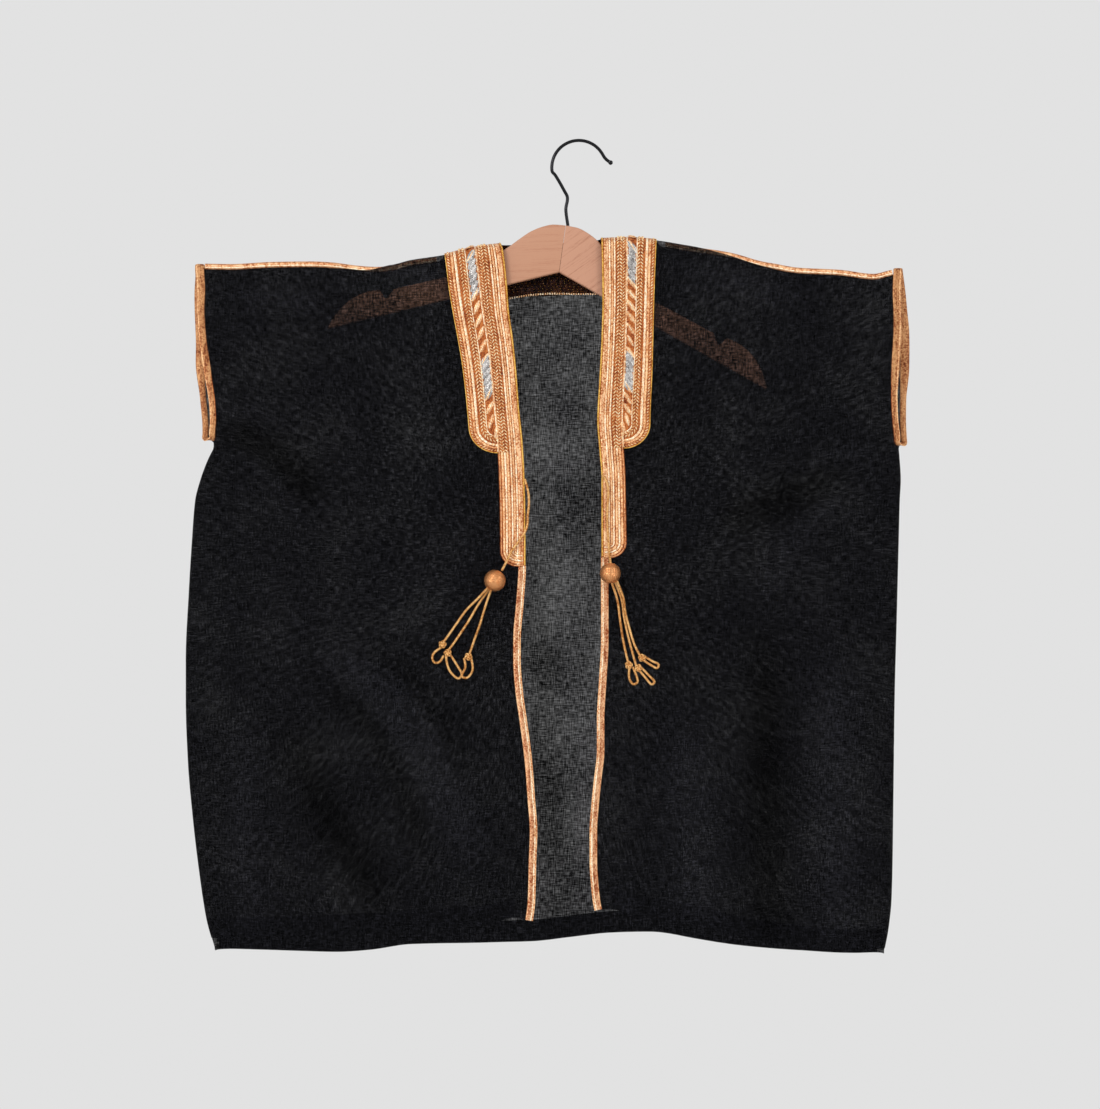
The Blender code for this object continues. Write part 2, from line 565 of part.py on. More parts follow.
def front_piping(name, grid, inward, material):
    """Flat tube along a front panel's free edge, from the narrow band down to the hem."""
    path = []
    for share in [PIPING_ROW] + [row for row in ROWS if row > PIPING_ROW]:
        point = sample(grid, 0, row_index(share))
        path.append((point[0] - inward * (PIPING_WIDTH / 2 + EDGE_GAP), point[1], point[2]))
    path = smooth_route(path, 20.0)
    return flat_tube(name, path, PIPING_WIDTH, (1, 0, 0), PIPING_THICK, material)


def shoulder_piping(name, start, end, material):
    """Round piping along the shoulder line; it rolls to the back of the ridge near the bands."""
    size = SHOULDER_PIPING_SIZE
    points = []
    for x in np.linspace(start, end, 14):
        roll = piping_roll(x)
        z = float(curve(SHOULDER, x)) - size / 2 - ROLLED_DROP * roll
        points.append((x, ROLLED_BACK * math.sqrt(roll), z))
    return flat_tube(name, smooth_route(points, 16.0), size, (0, 0, 1), size - 0.4, material)


def hanger_arm(name, side, material):
    """Half of the bent hanger: its outline, thickened, with its long edges rounded."""
    outline = HANGER_TOP + HANGER_NOTCH + HANGER_TIP + [HANGER_FOOT]
    half = HANGER_THICK / 2 * MM
    bm = bmesh.new()
    loop = [bm.verts.new((side * a * MM, -half, h * MM)) for a, h in outline]
    face = bm.faces.new(loop)
    made = bmesh.ops.extrude_face_region(bm, geom=[face])
    moved = [item for item in made["geom"] if isinstance(item, bmesh.types.BMVert)]
    bmesh.ops.translate(bm, verts=moved, vec=(0, 2 * half, 0))
    bmesh.ops.recalc_face_normals(bm, faces=bm.faces)
    joint = 0.16 * MM
    rims = [edge for edge in bm.edges
            if abs(edge.verts[0].co.y - edge.verts[1].co.y) < 1e-7
            and not all(abs(v.co.x) < joint for v in edge.verts)]
    bmesh.ops.bevel(bm, geom=rims, offset=HANGER_ROUND * MM, segments=2, profile=0.5, affect="EDGES",
                    clamp_overlap=True)
    bmesh.ops.triangulate(bm, faces=bm.faces)
    mesh = bpy.data.meshes.new(name)
    bm.to_mesh(mesh)
    bm.free()
    mesh.shade_smooth()
    mesh.set_sharp_from_angle(angle=math.radians(35))
    mesh.materials.append(material)
    thing = bpy.data.objects.new(name, mesh)
    bpy.context.collection.objects.link(thing)
    thing.location = (HANGER_CENTRE[0] * MM, 0, HANGER_CENTRE[1] * MM)
    thing.rotation_euler = (0, HANGER_TILT, 0)
    return thing


def cord_object(name, points, diameter, material, end_swell=1.0):
    data = bpy.data.curves.new(name, "CURVE")
    data.dimensions = "3D"
    spline = data.splines.new("POLY")
    spline.points.add(len(points) - 1)
    for spot, point in zip(spline.points, points):
        spot.co = (*(float(c) * MM for c in point), 1)
        spot.radius = 1.0
    if end_swell > 1.0:
        spline.points[-1].radius = 1.15
        spline.points[-2].radius = end_swell
        spline.points[-3].radius = 1.2
    data.bevel_depth = diameter / 2 * MM
    data.bevel_resolution = 2
    data.use_fill_caps = True
    data.materials.append(material)
    thing = bpy.data.objects.new(name, data)
    bpy.context.collection.objects.link(thing)
    return thing


def hook(material):
    """Steel wire hook: a straight foot, the bow about its own centre, and a swept tail."""
    radius = -BOW_CENTRE[1] + WIRE_DIAMETER / 2
    turns = [math.radians(angle) for angle in BOW_ANGLES]
    bow = [(BOW_CENTRE[0] + radius * math.cos(turn), BOW_CENTRE[1] + radius * math.sin(turn))
           for turn in turns]
    aside, height = WIRE_FOOT_ON_HANGER, curve(HANGER_TOP, WIRE_FOOT_ON_HANGER)
    c, s = math.cos(HANGER_TILT), math.sin(HANGER_TILT)
    foot = (HANGER_CENTRE[0] + aside * c + height * s,
            HANGER_CENTRE[1] - aside * s + height * c + 2 * SEAM_GAP)
    route = [foot] + WIRE_FOOT + bow + WIRE_TAIL
    points = smooth_route([(x, 0.0, z) for x, z in route], 5.0)
    return cord_object("hanger_hook", points, WIRE_DIAMETER, material, WIRE_END_SWELL)


def ball(name, centre, radius, material, sides, squash=(1, 1, 1)):
    bm = bmesh.new()
    bmesh.ops.create_uvsphere(bm, u_segments=sides, v_segments=sides * 2 // 3, radius=radius * MM)
    bmesh.ops.scale(bm, verts=bm.verts, vec=squash)
    mesh = bpy.data.meshes.new(name)
    bm.to_mesh(mesh)
    bm.free()
    mesh.shade_smooth()
    mesh.materials.append(material)
    thing = bpy.data.objects.new(name, mesh)
    bpy.context.collection.objects.link(thing)
    thing.location = tuple(c * MM for c in centre)
    return thing


def make_materials():
    made = {}
    for name, look in MATERIALS.items():
        material = bpy.data.materials.new(name)
        material.use_nodes = True
        shader = material.node_tree.nodes["Principled BSDF"]
        shader.inputs["Base Color"].default_value = (*look["colour"], 1)
        shader.inputs["Roughness"].default_value = look["roughness"]
        shader.inputs["Metallic"].default_value = look["metallic"]
        made[name] = material
    return made


def make_front(side_name, grid, inward, paint):
    """A front panel with its bands, piping and hem."""
    normals = outward(grid, -1)
    panel(f"front_panel_{side_name}", grid, normals, -1, paint["voile"])
    on_cloth = CLOTH_WALL / 2 + BAND_GAP
    wide = band_places(0, WIDE_BAND_END, 5)
    narrow = band_places(WIDE_BAND_ROW + BAND_ROW_GAP, NARROW_BAND_END, 3)
    for band, places in {"wide": wide, "narrow": narrow}.items():
        lay(f"{band}_band_{side_name}", grid, normals, -1, places, on_cloth, BAND_WALL,
            paint["gold_thread"])
    front_piping(f"front_piping_{side_name}", grid, inward, paint["gold_thread"])
    hem_columns = range(grid.shape[0] - 3)
    hem = [[(i, row_index(share)) for i in hem_columns] for share in (HEM_ROW, HEM_END)]
    inside = -(CLOTH_WALL / 2 + BAND_GAP + HEM_WALL)
    lay(f"front_hem_{side_name}", grid, normals, -1, hem, inside, HEM_WALL, paint["voile"])


def make_back(grid, paint):
    normals = outward(grid, 1)
    panel("back_panel", grid, normals, 1, paint["voile"])
    first = len(SIDE_COLUMNS) + len(BACK_LEFT_COLUMNS)
    neck_columns = range(first, first + len(BACK_MIDDLE_COLUMNS))
    neck_rows = [share for share in ROWS if share <= NECK_BAND_ROW]
    neck = [[(i, row_index(share)) for i in neck_columns] for share in neck_rows]
    on_cloth = CLOTH_WALL / 2 + BAND_GAP
    lay("back_neck_band", grid, normals, 1, neck, on_cloth, BAND_WALL, paint["gold_thread"])
    hem_columns = range(3, grid.shape[0] - 3)
    hem = [[(i, row_index(share)) for i in hem_columns] for share in (BACK_HEM_ROW, HEM_END)]
    inside = -(CLOTH_WALL / 2 + BAND_GAP + HEM_WALL)
    lay("back_hem", grid, normals, 1, hem, inside, HEM_WALL, paint["voile"])


def main():
    for thing in list(bpy.data.objects):
        bpy.data.objects.remove(thing, do_unlink=True)
    paint = make_materials()

    left_columns = front_columns(LEFT_SIDE, LEFT_FRONT_EDGE, LEFT_BAND_EDGE, LEFT_CUFF, 1)
    right_columns = front_columns(RIGHT_SIDE, RIGHT_FRONT_EDGE, RIGHT_BAND_EDGE, RIGHT_CUFF, -1)
    make_front("left", panel_points(left_columns, LEFT_HEM, False, -1), -1, paint)
    make_front("right", panel_points(right_columns, RIGHT_HEM, False, -1), 1, paint)
    make_back(panel_points(back_columns(), BACK_HEM, True, 1), paint)

    cuff_loop("cuff_binding_left", LEFT_CUFF, -118.0, -367.5, paint["gold_thread"])
    cuff_loop("cuff_binding_right", RIGHT_CUFF, -122.0, 309.5, paint["gold_thread"])
    shoulder_piping("shoulder_piping_left", -362.5, BAND_TOP_LEFT - 8, paint["gold_thread"])
    shoulder_piping("shoulder_piping_right", BAND_TOP_RIGHT + 9, 303.8, paint["gold_thread"])

    hanger_arm("hanger_arm_left", -1, paint["beech"])
    hanger_arm("hanger_arm_right", 1, paint["beech"])
    hook(paint["wire"])

    for name, spot in {"left_tie_ball": LEFT_BALL, "right_tie_ball": RIGHT_BALL}.items():
        ball(name, (spot["x"], spot["y"], spot["z"]), spot["radius"], paint["gold_thread"], 14)
    for name, points in {**LEFT_CORDS, **RIGHT_CORDS}.items():
        cord_object(name, smooth_route(points, CORD_STEP), CORD_DIAMETER, paint["gold_thread"])
    for name, centre in KNOTS.items():
        ball(name, centre, KNOT_RADIUS, paint["gold_thread"], 10, squash=(0.9, 0.65, 0.9))


main()
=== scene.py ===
# Bisht cloak on a bent beech hanger: sheer black voile, braided gold bands, piped edges and tie cords.
# Tables are in millimetres and become metres where a mesh is made.
import math

import bmesh
import bpy
import numpy as np
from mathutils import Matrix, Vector


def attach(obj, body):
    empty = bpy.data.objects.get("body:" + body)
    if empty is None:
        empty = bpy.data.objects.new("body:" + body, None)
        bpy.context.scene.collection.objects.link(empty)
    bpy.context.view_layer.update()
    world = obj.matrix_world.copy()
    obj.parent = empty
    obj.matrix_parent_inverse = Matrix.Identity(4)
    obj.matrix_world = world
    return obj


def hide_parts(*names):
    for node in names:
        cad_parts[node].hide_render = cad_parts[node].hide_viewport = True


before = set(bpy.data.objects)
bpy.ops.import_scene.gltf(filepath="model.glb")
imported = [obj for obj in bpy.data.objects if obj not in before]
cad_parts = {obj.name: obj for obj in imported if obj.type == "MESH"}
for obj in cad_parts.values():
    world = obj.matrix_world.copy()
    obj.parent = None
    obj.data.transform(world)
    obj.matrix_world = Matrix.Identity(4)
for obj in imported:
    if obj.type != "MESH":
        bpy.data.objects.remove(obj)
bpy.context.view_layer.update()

mm = 0.001
body = "root"

# camera, first, because the cords are measured against its view
view = {"centre": (-0.028, -0.400), "plane": -0.012, "distance": 3.0, "spanWide": 1.0626, "sensor": 36.0}

# outlines of the hanging cloak, seen from the front: (z, x) for edges, (x, z) for the rest
left = {
    "name": "left", "facing": -1, "inward": 1,
    "side": [(-297, -354), (-309, -360), (-328, -367), (-348, -372), (-386, -375), (-435, -378),
             (-502, -381),
             (-541, -381), (-599, -379), (-657, -374), (-715, -367), (-753, -361), (-782, -353)],
    "frontEdge": [(-99, -76), (-105, -73), (-138, -69), (-164, -67), (-193, -63), (-222, -60), (-261, -57),
                  (-290, -54), (-324, -52), (-367, -51), (-411, -51), (-444, -53), (-483, -56), (-502, -56),
                  (-531, -54), (-560, -50), (-599, -45), (-638, -42), (-667, -40), (-696, -41), (-734, -42),
                  (-758, -45)],
    "bandEdge": [(-109, -130), (-135, -127), (-155, -124), (-193, -117), (-217, -113), (-251, -109),
                 (-290, -106), (-411, -103), (-502, -107), (-599, -97), (-667, -91), (-760, -96)],
    "hem": [(-354, -771), (-318, -769), (-250, -767), (-183, -764), (-134, -760), (-96, -758), (-81, -755),
            (-62, -750), (-49, -754)],
    "bandEnd": -411.8, "footRise": 109.6, "cuffBottom": -289.5,
    "cuff": [(-124, -367.5, -367.5, 3.0), (-145, -366, -369, 5.6), (-164, -366, -369, 6.9),
             (-193, -364, -368, 7.8), (-219, -360, -368, 8.0), (-251, -355, -365, 7.2),
             (-270, -354, -363, 5.8), (-282, -355, -362.5, 4.0)],
}
right = {
    "name": "right", "facing": -1, "inward": -1,
    "side": [(-297, 310), (-309, 311), (-327, 312), (-348, 311), (-386, 310), (-464, 308), (-541, 306),
             (-618, 305), (-696, 304), (-734, 303), (-763, 300), (-784, 296)],
    "frontEdge": [(-96, 21), (-155, 22), (-193, 21), (-232, 19), (-270, 17), (-299, 19), (-327, 21),
                  (-406, 21), (-483, 21), (-522, 19), (-560, 17), (-589, 17), (-618, 14), (-638, 12),
                  (-667, 10), (-696, 10), (-715, 11), (-734, 13), (-749, 16)],
    "bandEdge": [(-95, 75), (-145, 73), (-222, 71), (-272, 69), (-411, 73), (-502, 72), (-599, 67),
                 (-667, 62), (-760, 67)],
    "hem": [(14, -743), (32, -742), (44, -745), (69, -749), (117, -758), (165, -771), (204, -776),
            (252, -780), (297, -781)],
    "bandEnd": -403.6, "footRise": 106.0, "cuffBottom": -294.5,
    "cuff": [(-128, 309, 310.5, 3.0), (-145, 308, 313, 5.6), (-164, 308, 315, 6.9), (-185, 308, 317, 7.8),
             (-219, 306, 317, 8.0), (-246, 305, 315.5, 7.2), (-270, 306, 315, 5.8),
             (-286, 308, 315.5, 4.0)],
}
back = {
    "name": "back", "facing": 1,
    "hem": [(-353, -784), (-308, -785.5), (-241, -787.5), (-202, -785), (-163, -780), (-105, -779),
            (-47, -777), (-9, -773), (30, -769), (69, -768), (117, -775), (165, -782), (213, -786),
            (271, -788.5), (296, -787)],
}
shoulder = [(-368, -118), (-337, -118.5), (-298, -116.5), (-260, -116), (-225, -118), (-196, -120),
            (-181, -118.5), (-163, -114), (-130, -109), (-105, -103), (-76, -99), (-28, -97), (21, -94),
            (49, -93), (75, -95), (107, -100), (146, -106), (185, -117), (213, -122), (252, -124),
            (286, -128), (300, -125), (311, -122)]
bodyDepth = [(-90, 9.8), (-160, 9.8), (-290, 11.5), (-420, 14.0), (-520, 15.2), (-640, 16.0), (-790, 17.0)]
cloth = {
    "wall": 0.5,                # shell drawn a little thicker than real voile, which is about 0.2 mm
    "halfGap": 0.15,            # each layer stays this far from the seam plane
    "pipingSize": 5.2,          # shoulder piping that a panel's top edge runs under
    "neckLeft": -76, "neckRight": 21, "neckCorner": 14,
    "bandTopLeft": -130, "bandTopRight": 75,
    "overHangerRound": 8, "sleeveRound": 45, "sideRound": 22,
    "tuck": 0.1,                # a panel's top edge is tucked in behind the piping
    "bandDrop": 0.6,            # how far it lies below the shoulder line under the bands
    "rollDrop": 0.9,            # and how much lower it runs where the piping rolls to the back
}

# Folds: points down the fold's line (x, z), half width and height; a positive height stands out
frontFolds = [
    {"line": [(-346, -275), (-298, -300), (-250, -348)], "width": 20, "height": -3.5},
    {"line": [(-340, -300), (-300, -322), (-268, -372)], "width": 9, "height": 1.8},
    {"line": [(-352, -262), (-318, -262), (-282, -276)], "width": 8, "height": 1.5},
    {"line": [(-239, -493), (-189, -532), (-155, -582), (-127, -640), (-101, -689)], "width": 19,
     "height": 5.0},
    {"line": [(-252, -520), (-203, -562), (-170, -620), (-148, -690)], "width": 13, "height": -2.6},
    {"line": [(-215, -488), (-170, -512), (-132, -560), (-110, -615)], "width": 12, "height": -2.2},
    {"line": [(-285, -560), (-240, -660), (-190, -740)], "width": 22, "height": -3.0},
    {"line": [(-331, -150), (-290, -153), (-250, -155)], "width": 11, "height": 2.0},
    {"line": [(-188, -122), (-160, -132), (-132, -134)], "width": 12, "height": 2.4},
    {"line": [(256, -317), (200, -345), (138, -372)], "width": 20, "height": -3.5},
    {"line": [(262, -340), (214, -378), (176, -440)], "width": 11, "height": 2.0},
    {"line": [(286, -300), (240, -306), (206, -322)], "width": 9, "height": 1.8},
    {"line": [(95, -127), (150, -138), (211, -152)], "width": 13, "height": 2.4},
    {"line": [(104, -560), (110, -660), (116, -765)], "width": 24, "height": 4.0},
    {"line": [(178, -470), (181, -620), (184, -775)], "width": 22, "height": -3.5},
    {"line": [(246, -500), (248, -640), (250, -780)], "width": 22, "height": 4.0},
    {"line": [(30, -722), (46, -740), (53, -762)], "width": 9, "height": 2.2},
    {"line": [(-320, -560), (-322, -660), (-316, -768)], "width": 16, "height": 2.6},
]
backFolds = [
    {"line": [(-300, -360), (-292, -560), (-280, -780)], "width": 26, "height": 4.0},
    {"line": [(-215, -420), (-210, -600), (-205, -780)], "width": 23, "height": -4.0},
    {"line": [(-130, -300), (-126, -540), (-120, -775)], "width": 25, "height": 4.0},
    {"line": [(-45, -330), (-36, -560), (-30, -770)], "width": 20, "height": -3.5},
    {"line": [(-8, -170), (-20, -320), (-12, -470), (-2, -600)], "width": 11, "height": 2.0},
    {"line": [(-58, -156), (-10, -153), (34, -146)], "width": 7, "height": -2.4},
    {"line": [(40, -260), (50, -520), (60, -765)], "width": 25, "height": 4.0},
    {"line": [(140, -380), (138, -580), (135, -775)], "width": 23, "height": -4.0},
    {"line": [(225, -360), (230, -580), (235, -780)], "width": 25, "height": 4.0},
]
# Slow ripples of the loose cloth: share of a turn for each millimetre across and down, and height
ripples = [(0.011, 0.0013, 0.7, 0.1), (0.0062, -0.0021, 0.9, 0.35), (0.017, 0.0042, 0.4, 0.8),
           (0.004, 0.0075, 0.5, 0.55)]


def curve(table, at, column=1):
    rows = sorted((row[0], row[column]) for row in table)
    keys = np.array([row[0] for row in rows], float)
    values = np.array([row[1] for row in rows], float)
    at = np.clip(np.asarray(at, float), keys[0], keys[-1])
    steps = np.diff(values) / np.diff(keys)
    slopes = np.empty(len(keys))
    slopes[0], slopes[-1] = steps[0], steps[-1]
    for i in range(1, len(keys) - 1):
        sameWay = steps[i - 1] * steps[i] > 0
        slopes[i] = 2 * steps[i - 1] * steps[i] / (steps[i - 1] + steps[i]) if sameWay else 0.0
    i = np.clip(np.searchsorted(keys, at, side="right") - 1, 0, len(keys) - 2)
    span = keys[i + 1] - keys[i]
    t = (at - keys[i]) / span
    return ((2 * t**3 - 3 * t**2 + 1) * values[i] + (t**3 - 2 * t**2 + t) * span * slopes[i]
            + (3 * t**2 - 2 * t**3) * values[i + 1] + (t**3 - t**2) * span * slopes[i + 1])


def quarter(share):
    share = np.clip(share, 0.0, 1.0)
    return np.sqrt(1.0 - (1.0 - share)**2)


def ease(low, high, at):
    t = np.clip((np.asarray(at, float) - low) / (high - low), 0.0, 1.0)
    return t * t * (3 - 2 * t)


def between(at, start, full, waning, end):
    return ease(start, full, at) * (1 - ease(waning, end, at))


def foldHeight(folds, x, z):
    total = np.zeros(np.shape(x))
    for fold in folds:
        points = np.array(fold["line"], float)
        lengths = np.linalg.norm(np.diff(points, axis=0), axis=1)
        whole = lengths.sum()
        nearest = np.full(np.shape(x), 1e9)
        run = np.zeros(np.shape(x))
        for k, length in enumerate(lengths):
            along = (points[k + 1] - points[k]) / length
            t = (x - points[k][0]) * along[0] + (z - points[k][1]) * along[1]
            low = -0.15 * whole if k == 0 else 0.0
            high = length + (0.15 * whole if k == len(lengths) - 1 else 0.0)
            held = np.clip(t, low, high)
            away = np.hypot(x - points[k][0] - along[0] * held, z - points[k][1] - along[1] * held)
            closer = away < nearest
            nearest = np.where(closer, away, nearest)
            run = np.where(closer, lengths[:k].sum() + held, run)
        fade = between(run, -0.12 * whole, 0.25 * whole, 0.8 * whole, 1.12 * whole)
        total += fold["height"] * fade * np.exp(-(nearest / fold["width"])**2)
    return total


def rippleHeight(x, z):
    total = np.zeros(np.shape(x))
    for across, down, height, phase in ripples:
        total += height * np.sin(2 * math.pi * (across * x + down * z + phase))
    return total


def underBands(x):
    low, high = cloth["bandTopLeft"], cloth["bandTopRight"]
    return between(x, low - 4, low, high, high + 4)


def rolledOver(x):
    # where the shoulder piping has rolled to the back
    return between(x, -238, -214, 166, 192)


def topOf(panel, x):
    belowPiping = cloth["pipingSize"] - cloth["tuck"]
    if panel is back:
        beside = belowPiping + cloth["rollDrop"] * rolledOver(x)
        drop = beside + (cloth["bandDrop"] - beside) * underBands(x)
    else:
        drop = belowPiping + (cloth["bandDrop"] - belowPiping) * between(x, -212, -182, 105, 165)
    return curve(shoulder, x) - drop


def sideX(front, z, leg, atCuff=2.4):
    bottom = front["cuffBottom"]
    cuffX = curve(front["cuff"], z, leg) + front["inward"] * atCuff
    seamX = curve(front["side"], z)
    return cuffX + (seamX - cuffX) * (1 - ease(bottom - 3, bottom + 4, z))


def depthOf(panel, x, z):
    halves = [left, right] if panel is back else [panel]
    leg = 2 if panel is back else 1
    fromSide = np.full(np.shape(x), 1e9)
    edge = np.zeros(np.shape(x))
    for half in halves:
        gap = np.abs(x - sideX(half, z, leg))
        bottom = half["cuffBottom"]
        openDepth = curve(half["cuff"], z, 3)
        closed = 1 - ease(bottom - 6, bottom + 9, z)
        edge = np.where(gap < fromSide, openDepth + (cloth["halfGap"] - openDepth) * closed, edge)
        fromSide = np.minimum(fromSide, gap)
    folds, deeper = (backFolds, 1.0) if panel is back else (frontFolds, 1.45)
    calm = ease(100, 150, x) + (1 - ease(-165, -135, x)) if panel is not back else 1.0
    loose = deeper * foldHeight(folds, x, z) + calm * rippleHeight(x, z) * ease(-170, -330, z)
    full = curve(bodyDepth, z) + loose * ease(0, 60, fromSide)
    depth = edge + (full - edge) * quarter(fromSide / cloth["sideRound"])
    low, high = cloth["bandTopLeft"], cloth["bandTopRight"]
    overHanger = between(x, low - 60, low - 5, high + 5, high + 60)
    ridge = cloth["sleeveRound"] + (cloth["overHangerRound"] - cloth["sleeveRound"]) * overHanger
    closing = quarter((topOf(panel, x) - z) / ridge)
    if panel is back:
        fromCorner = np.minimum(x - cloth["neckLeft"], cloth["neckRight"] - x)
        closing = np.maximum(closing, quarter(fromCorner / cloth["neckCorner"]))
    return np.maximum(depth * closing, cloth["halfGap"])


def onCloth(panel, x, z, lift=0.0):
    # point of a panel's middle surface, moved out by lift, and the normal there
    x, z = np.broadcast_arrays(np.asarray(x, float), np.asarray(z, float))
    h = 0.35
    facing = panel["facing"]
    low = np.minimum(z, topOf(panel, x) - h)
    slopeX = (depthOf(panel, x + h, z) - depthOf(panel, x - h, z)) / (2 * h)
    slopeZ = (depthOf(panel, x, low + h) - depthOf(panel, x, low - h)) / (2 * h)
    normal = np.stack([-slopeX, np.full(x.shape, float(facing)), -slopeZ], axis=-1)
    normal = unit(normal)
    point = np.stack([x, facing * depthOf(panel, x, z), z], axis=-1)
    moved = point + normal * np.asarray(lift, float)[..., None]
    hold = np.maximum if facing > 0 else np.minimum
    moved[..., 1] = hold(moved[..., 1], facing * cloth["halfGap"])
    return moved, normal


def unit(vectors):
    return vectors / np.linalg.norm(vectors, axis=-1, keepdims=True)


def runOf(path):
    # distance along a path, at each of its points
    return np.concatenate([[0], np.cumsum(np.linalg.norm(np.diff(path, axis=0), axis=1))])


def smoothRoute(points, step, closed=False):
    p = np.array(points, float)
    count = len(p)
    dense = []
    for i in range(count if closed else count - 1):
        if closed:
            a, b, c, d = p[i - 1], p[i], p[(i + 1) % count], p[(i + 2) % count]
        else:
            b, c = p[i], p[i + 1]
            a = p[i - 1] if i else 2 * b - c
            d = p[i + 2] if i + 2 < count else 2 * c - b
        for k in range(12):
            t = k / 12
            dense.append(0.5 * (2 * b + (c - a) * t + (2 * a - 5 * b + 4 * c - d) * t**2
                                + (3 * b - a - 3 * c + d) * t**3))
    dense.append(p[0] if closed else p[-1])
    dense = np.array(dense)
    run = runOf(dense)
    pieces = max(4, round(run[-1] / step))
    at = np.linspace(0, run[-1], pieces + 1)
    even = np.stack([np.interp(at, run, dense[:, k]) for k in range(dense.shape[1])], axis=1)
    return even[:-1] if closed else even


# meshes
def newObject(name, data):
    thing = bpy.data.objects.new(name, data)
    bpy.context.collection.objects.link(thing)
    return thing


def newPiece(name, vertices, faces, material, uvs=None, smoothAngle=50):
    mesh = bpy.data.meshes.new(name)
    mesh.from_pydata((np.asarray(vertices, float) * mm).tolist(), [], faces)
    if uvs is not None:
        layer = mesh.uv_layers.new(name="threadUv")
        layer.data.foreach_set("uv", (np.asarray(uvs, float) * mm).ravel())
    bm = bmesh.new()
    bm.from_mesh(mesh)
    bmesh.ops.recalc_face_normals(bm, faces=bm.faces)
    bm.to_mesh(mesh)
    bm.free()
    mesh.shade_smooth()
    mesh.set_sharp_from_angle(angle=math.radians(smoothAngle))
    mesh.materials.append(material)
    return newObject(name, mesh)


def shell(name, outer, inner, material):
    # closed wall between two grids of points, with the cloth's own lengths as its UV map
    columns, rows = outer.shape[:2]
    count = columns * rows
    vertices = np.concatenate([outer.reshape(-1, 3), inner.reshape(-1, 3)])
    u = np.concatenate([np.zeros((1, rows)), np.cumsum(np.linalg.norm(np.diff(outer, axis=0), axis=2),
                                                       axis=0)])
    v = np.concatenate([np.zeros((columns, 1)), np.cumsum(np.linalg.norm(np.diff(outer, axis=1), axis=2),
                                                          axis=1)],
                       axis=1)
    uv = np.stack([u.ravel() + outer[0, 0, 0], v.ravel()], axis=1)
    index = np.arange(count).reshape(columns, rows)
    quads = np.stack([index[:-1, :-1], index[1:, :-1], index[1:, 1:], index[:-1, 1:]], axis=-1).reshape(-1,
                                                                                                        4)
    rim = np.concatenate([index[:, 0], index[-1, 1:], index[-2::-1, -1], index[0, -2:0:-1]])
    after = np.roll(rim, -1)
    sides = np.stack([after, rim, rim + count, after + count], axis=-1)
    faces = np.concatenate([quads, quads[:, ::-1] + count, sides])
    uvs = np.concatenate([uv, uv])[faces.ravel()]
    return newPiece(name, vertices, faces.tolist(), material, uvs)


def ringMesh(name, rings, material, closed=False, smoothAngle=50):
    # closed skin over rings of points; u runs round a ring and v along the path
    count, sides = rings.shape[:2]
    vertices = rings.reshape(-1, 3)
    around = np.concatenate([[0], np.cumsum(np.linalg.norm(np.roll(rings, -1, 1) - rings,
                                                           axis=2).mean(axis=0))])
    middle = rings.mean(axis=1)
    steps = np.linalg.norm(np.roll(middle, -1, 0) - middle, axis=1)
    run = np.concatenate([[0], np.cumsum(steps)])
    faces, uvs = [], []
    for i in range(count if closed else count - 1):
        j = (i + 1) % count
        for k in range(sides):
            m = (k + 1) % sides
            faces.append((i * sides + k, i * sides + m, j * sides + m, j * sides + k))
            uvs += [(around[k], run[i]), (around[k + 1], run[i]), (around[k + 1], run[i + 1]),
                    (around[k], run[i + 1])]
    if not closed:
        faces.append(tuple(range(sides))[::-1])
        faces.append(tuple((count - 1) * sides + k for k in range(sides)))
        uvs += [(0, 0)] * (2 * sides)
    return newPiece(name, vertices, faces, material, uvs, smoothAngle)


def pathFrames(path, closed=False, widthAxis=None):
    if closed:
        tangents = np.roll(path, -1, 0) - np.roll(path, 1, 0)
    else:
        tangents = np.gradient(path, axis=0)
    tangents = unit(tangents)
    sideways = np.zeros_like(path)
    before = np.array((0.31, 0.9, 0.3)) if widthAxis is None else np.array(widthAxis, float)
    for i, along in enumerate(tangents):
        start = before if widthAxis is None else np.array(widthAxis, float)
        across = start - along * np.dot(start, along)
        sideways[i] = across / np.linalg.norm(across)
        before = sideways[i]
    return tangents, sideways, np.cross(sideways, tangents)


def ringsOf(centre, sideways, ups, across, high):
    return centre[:, None] + sideways[:, None] * across[..., None] + ups[:, None] * high[..., None]


def twistedCord(name, path, diameter, material, lobes=3, pitch=6.5, sides=15, rounded=False):
    # strands laid round each other: a lobed section that turns as it goes
    run = runOf(path)
    _, sideways, ups = pathFrames(path)
    angles = 2 * math.pi * np.arange(sides) / sides
    turn = 2 * math.pi * run[:, None] / pitch
    radius = diameter / 2 * (0.9 + 0.2 * np.cos(lobes * (angles[None, :] - turn)))
    if rounded:
        taper = quarter(np.minimum(run, run[-1] - run) / (diameter * 0.45) + 0.12)
        radius = radius * taper[:, None]
    rings = ringsOf(path, sideways, ups, radius * np.cos(angles), radius * np.sin(angles))
    return ringMesh(name, rings, material)


def joined(name, pieces):
    # one object out of several that share their materials' order
    bm = bmesh.new()
    materials = []
    for piece in pieces:
        start = len(bm.faces)
        bm.from_mesh(piece.data)
        bm.faces.ensure_lookup_table()
        own = piece.data.materials[0]
        if own not in materials:
            materials.append(own)
        for face in bm.faces[start:]:
            face.material_index = materials.index(own)
    mesh = bpy.data.meshes.new(name)
    bm.to_mesh(mesh)
    bm.free()
    for material in materials:
        mesh.materials.append(material)
    whole = newObject(name, mesh)
    for piece in pieces:
        bpy.data.objects.remove(piece, do_unlink=True)
    return whole


def settle(piece, slot, *nodes):
    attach(piece, body)
    if nodes:
        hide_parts(*nodes)
    return piece


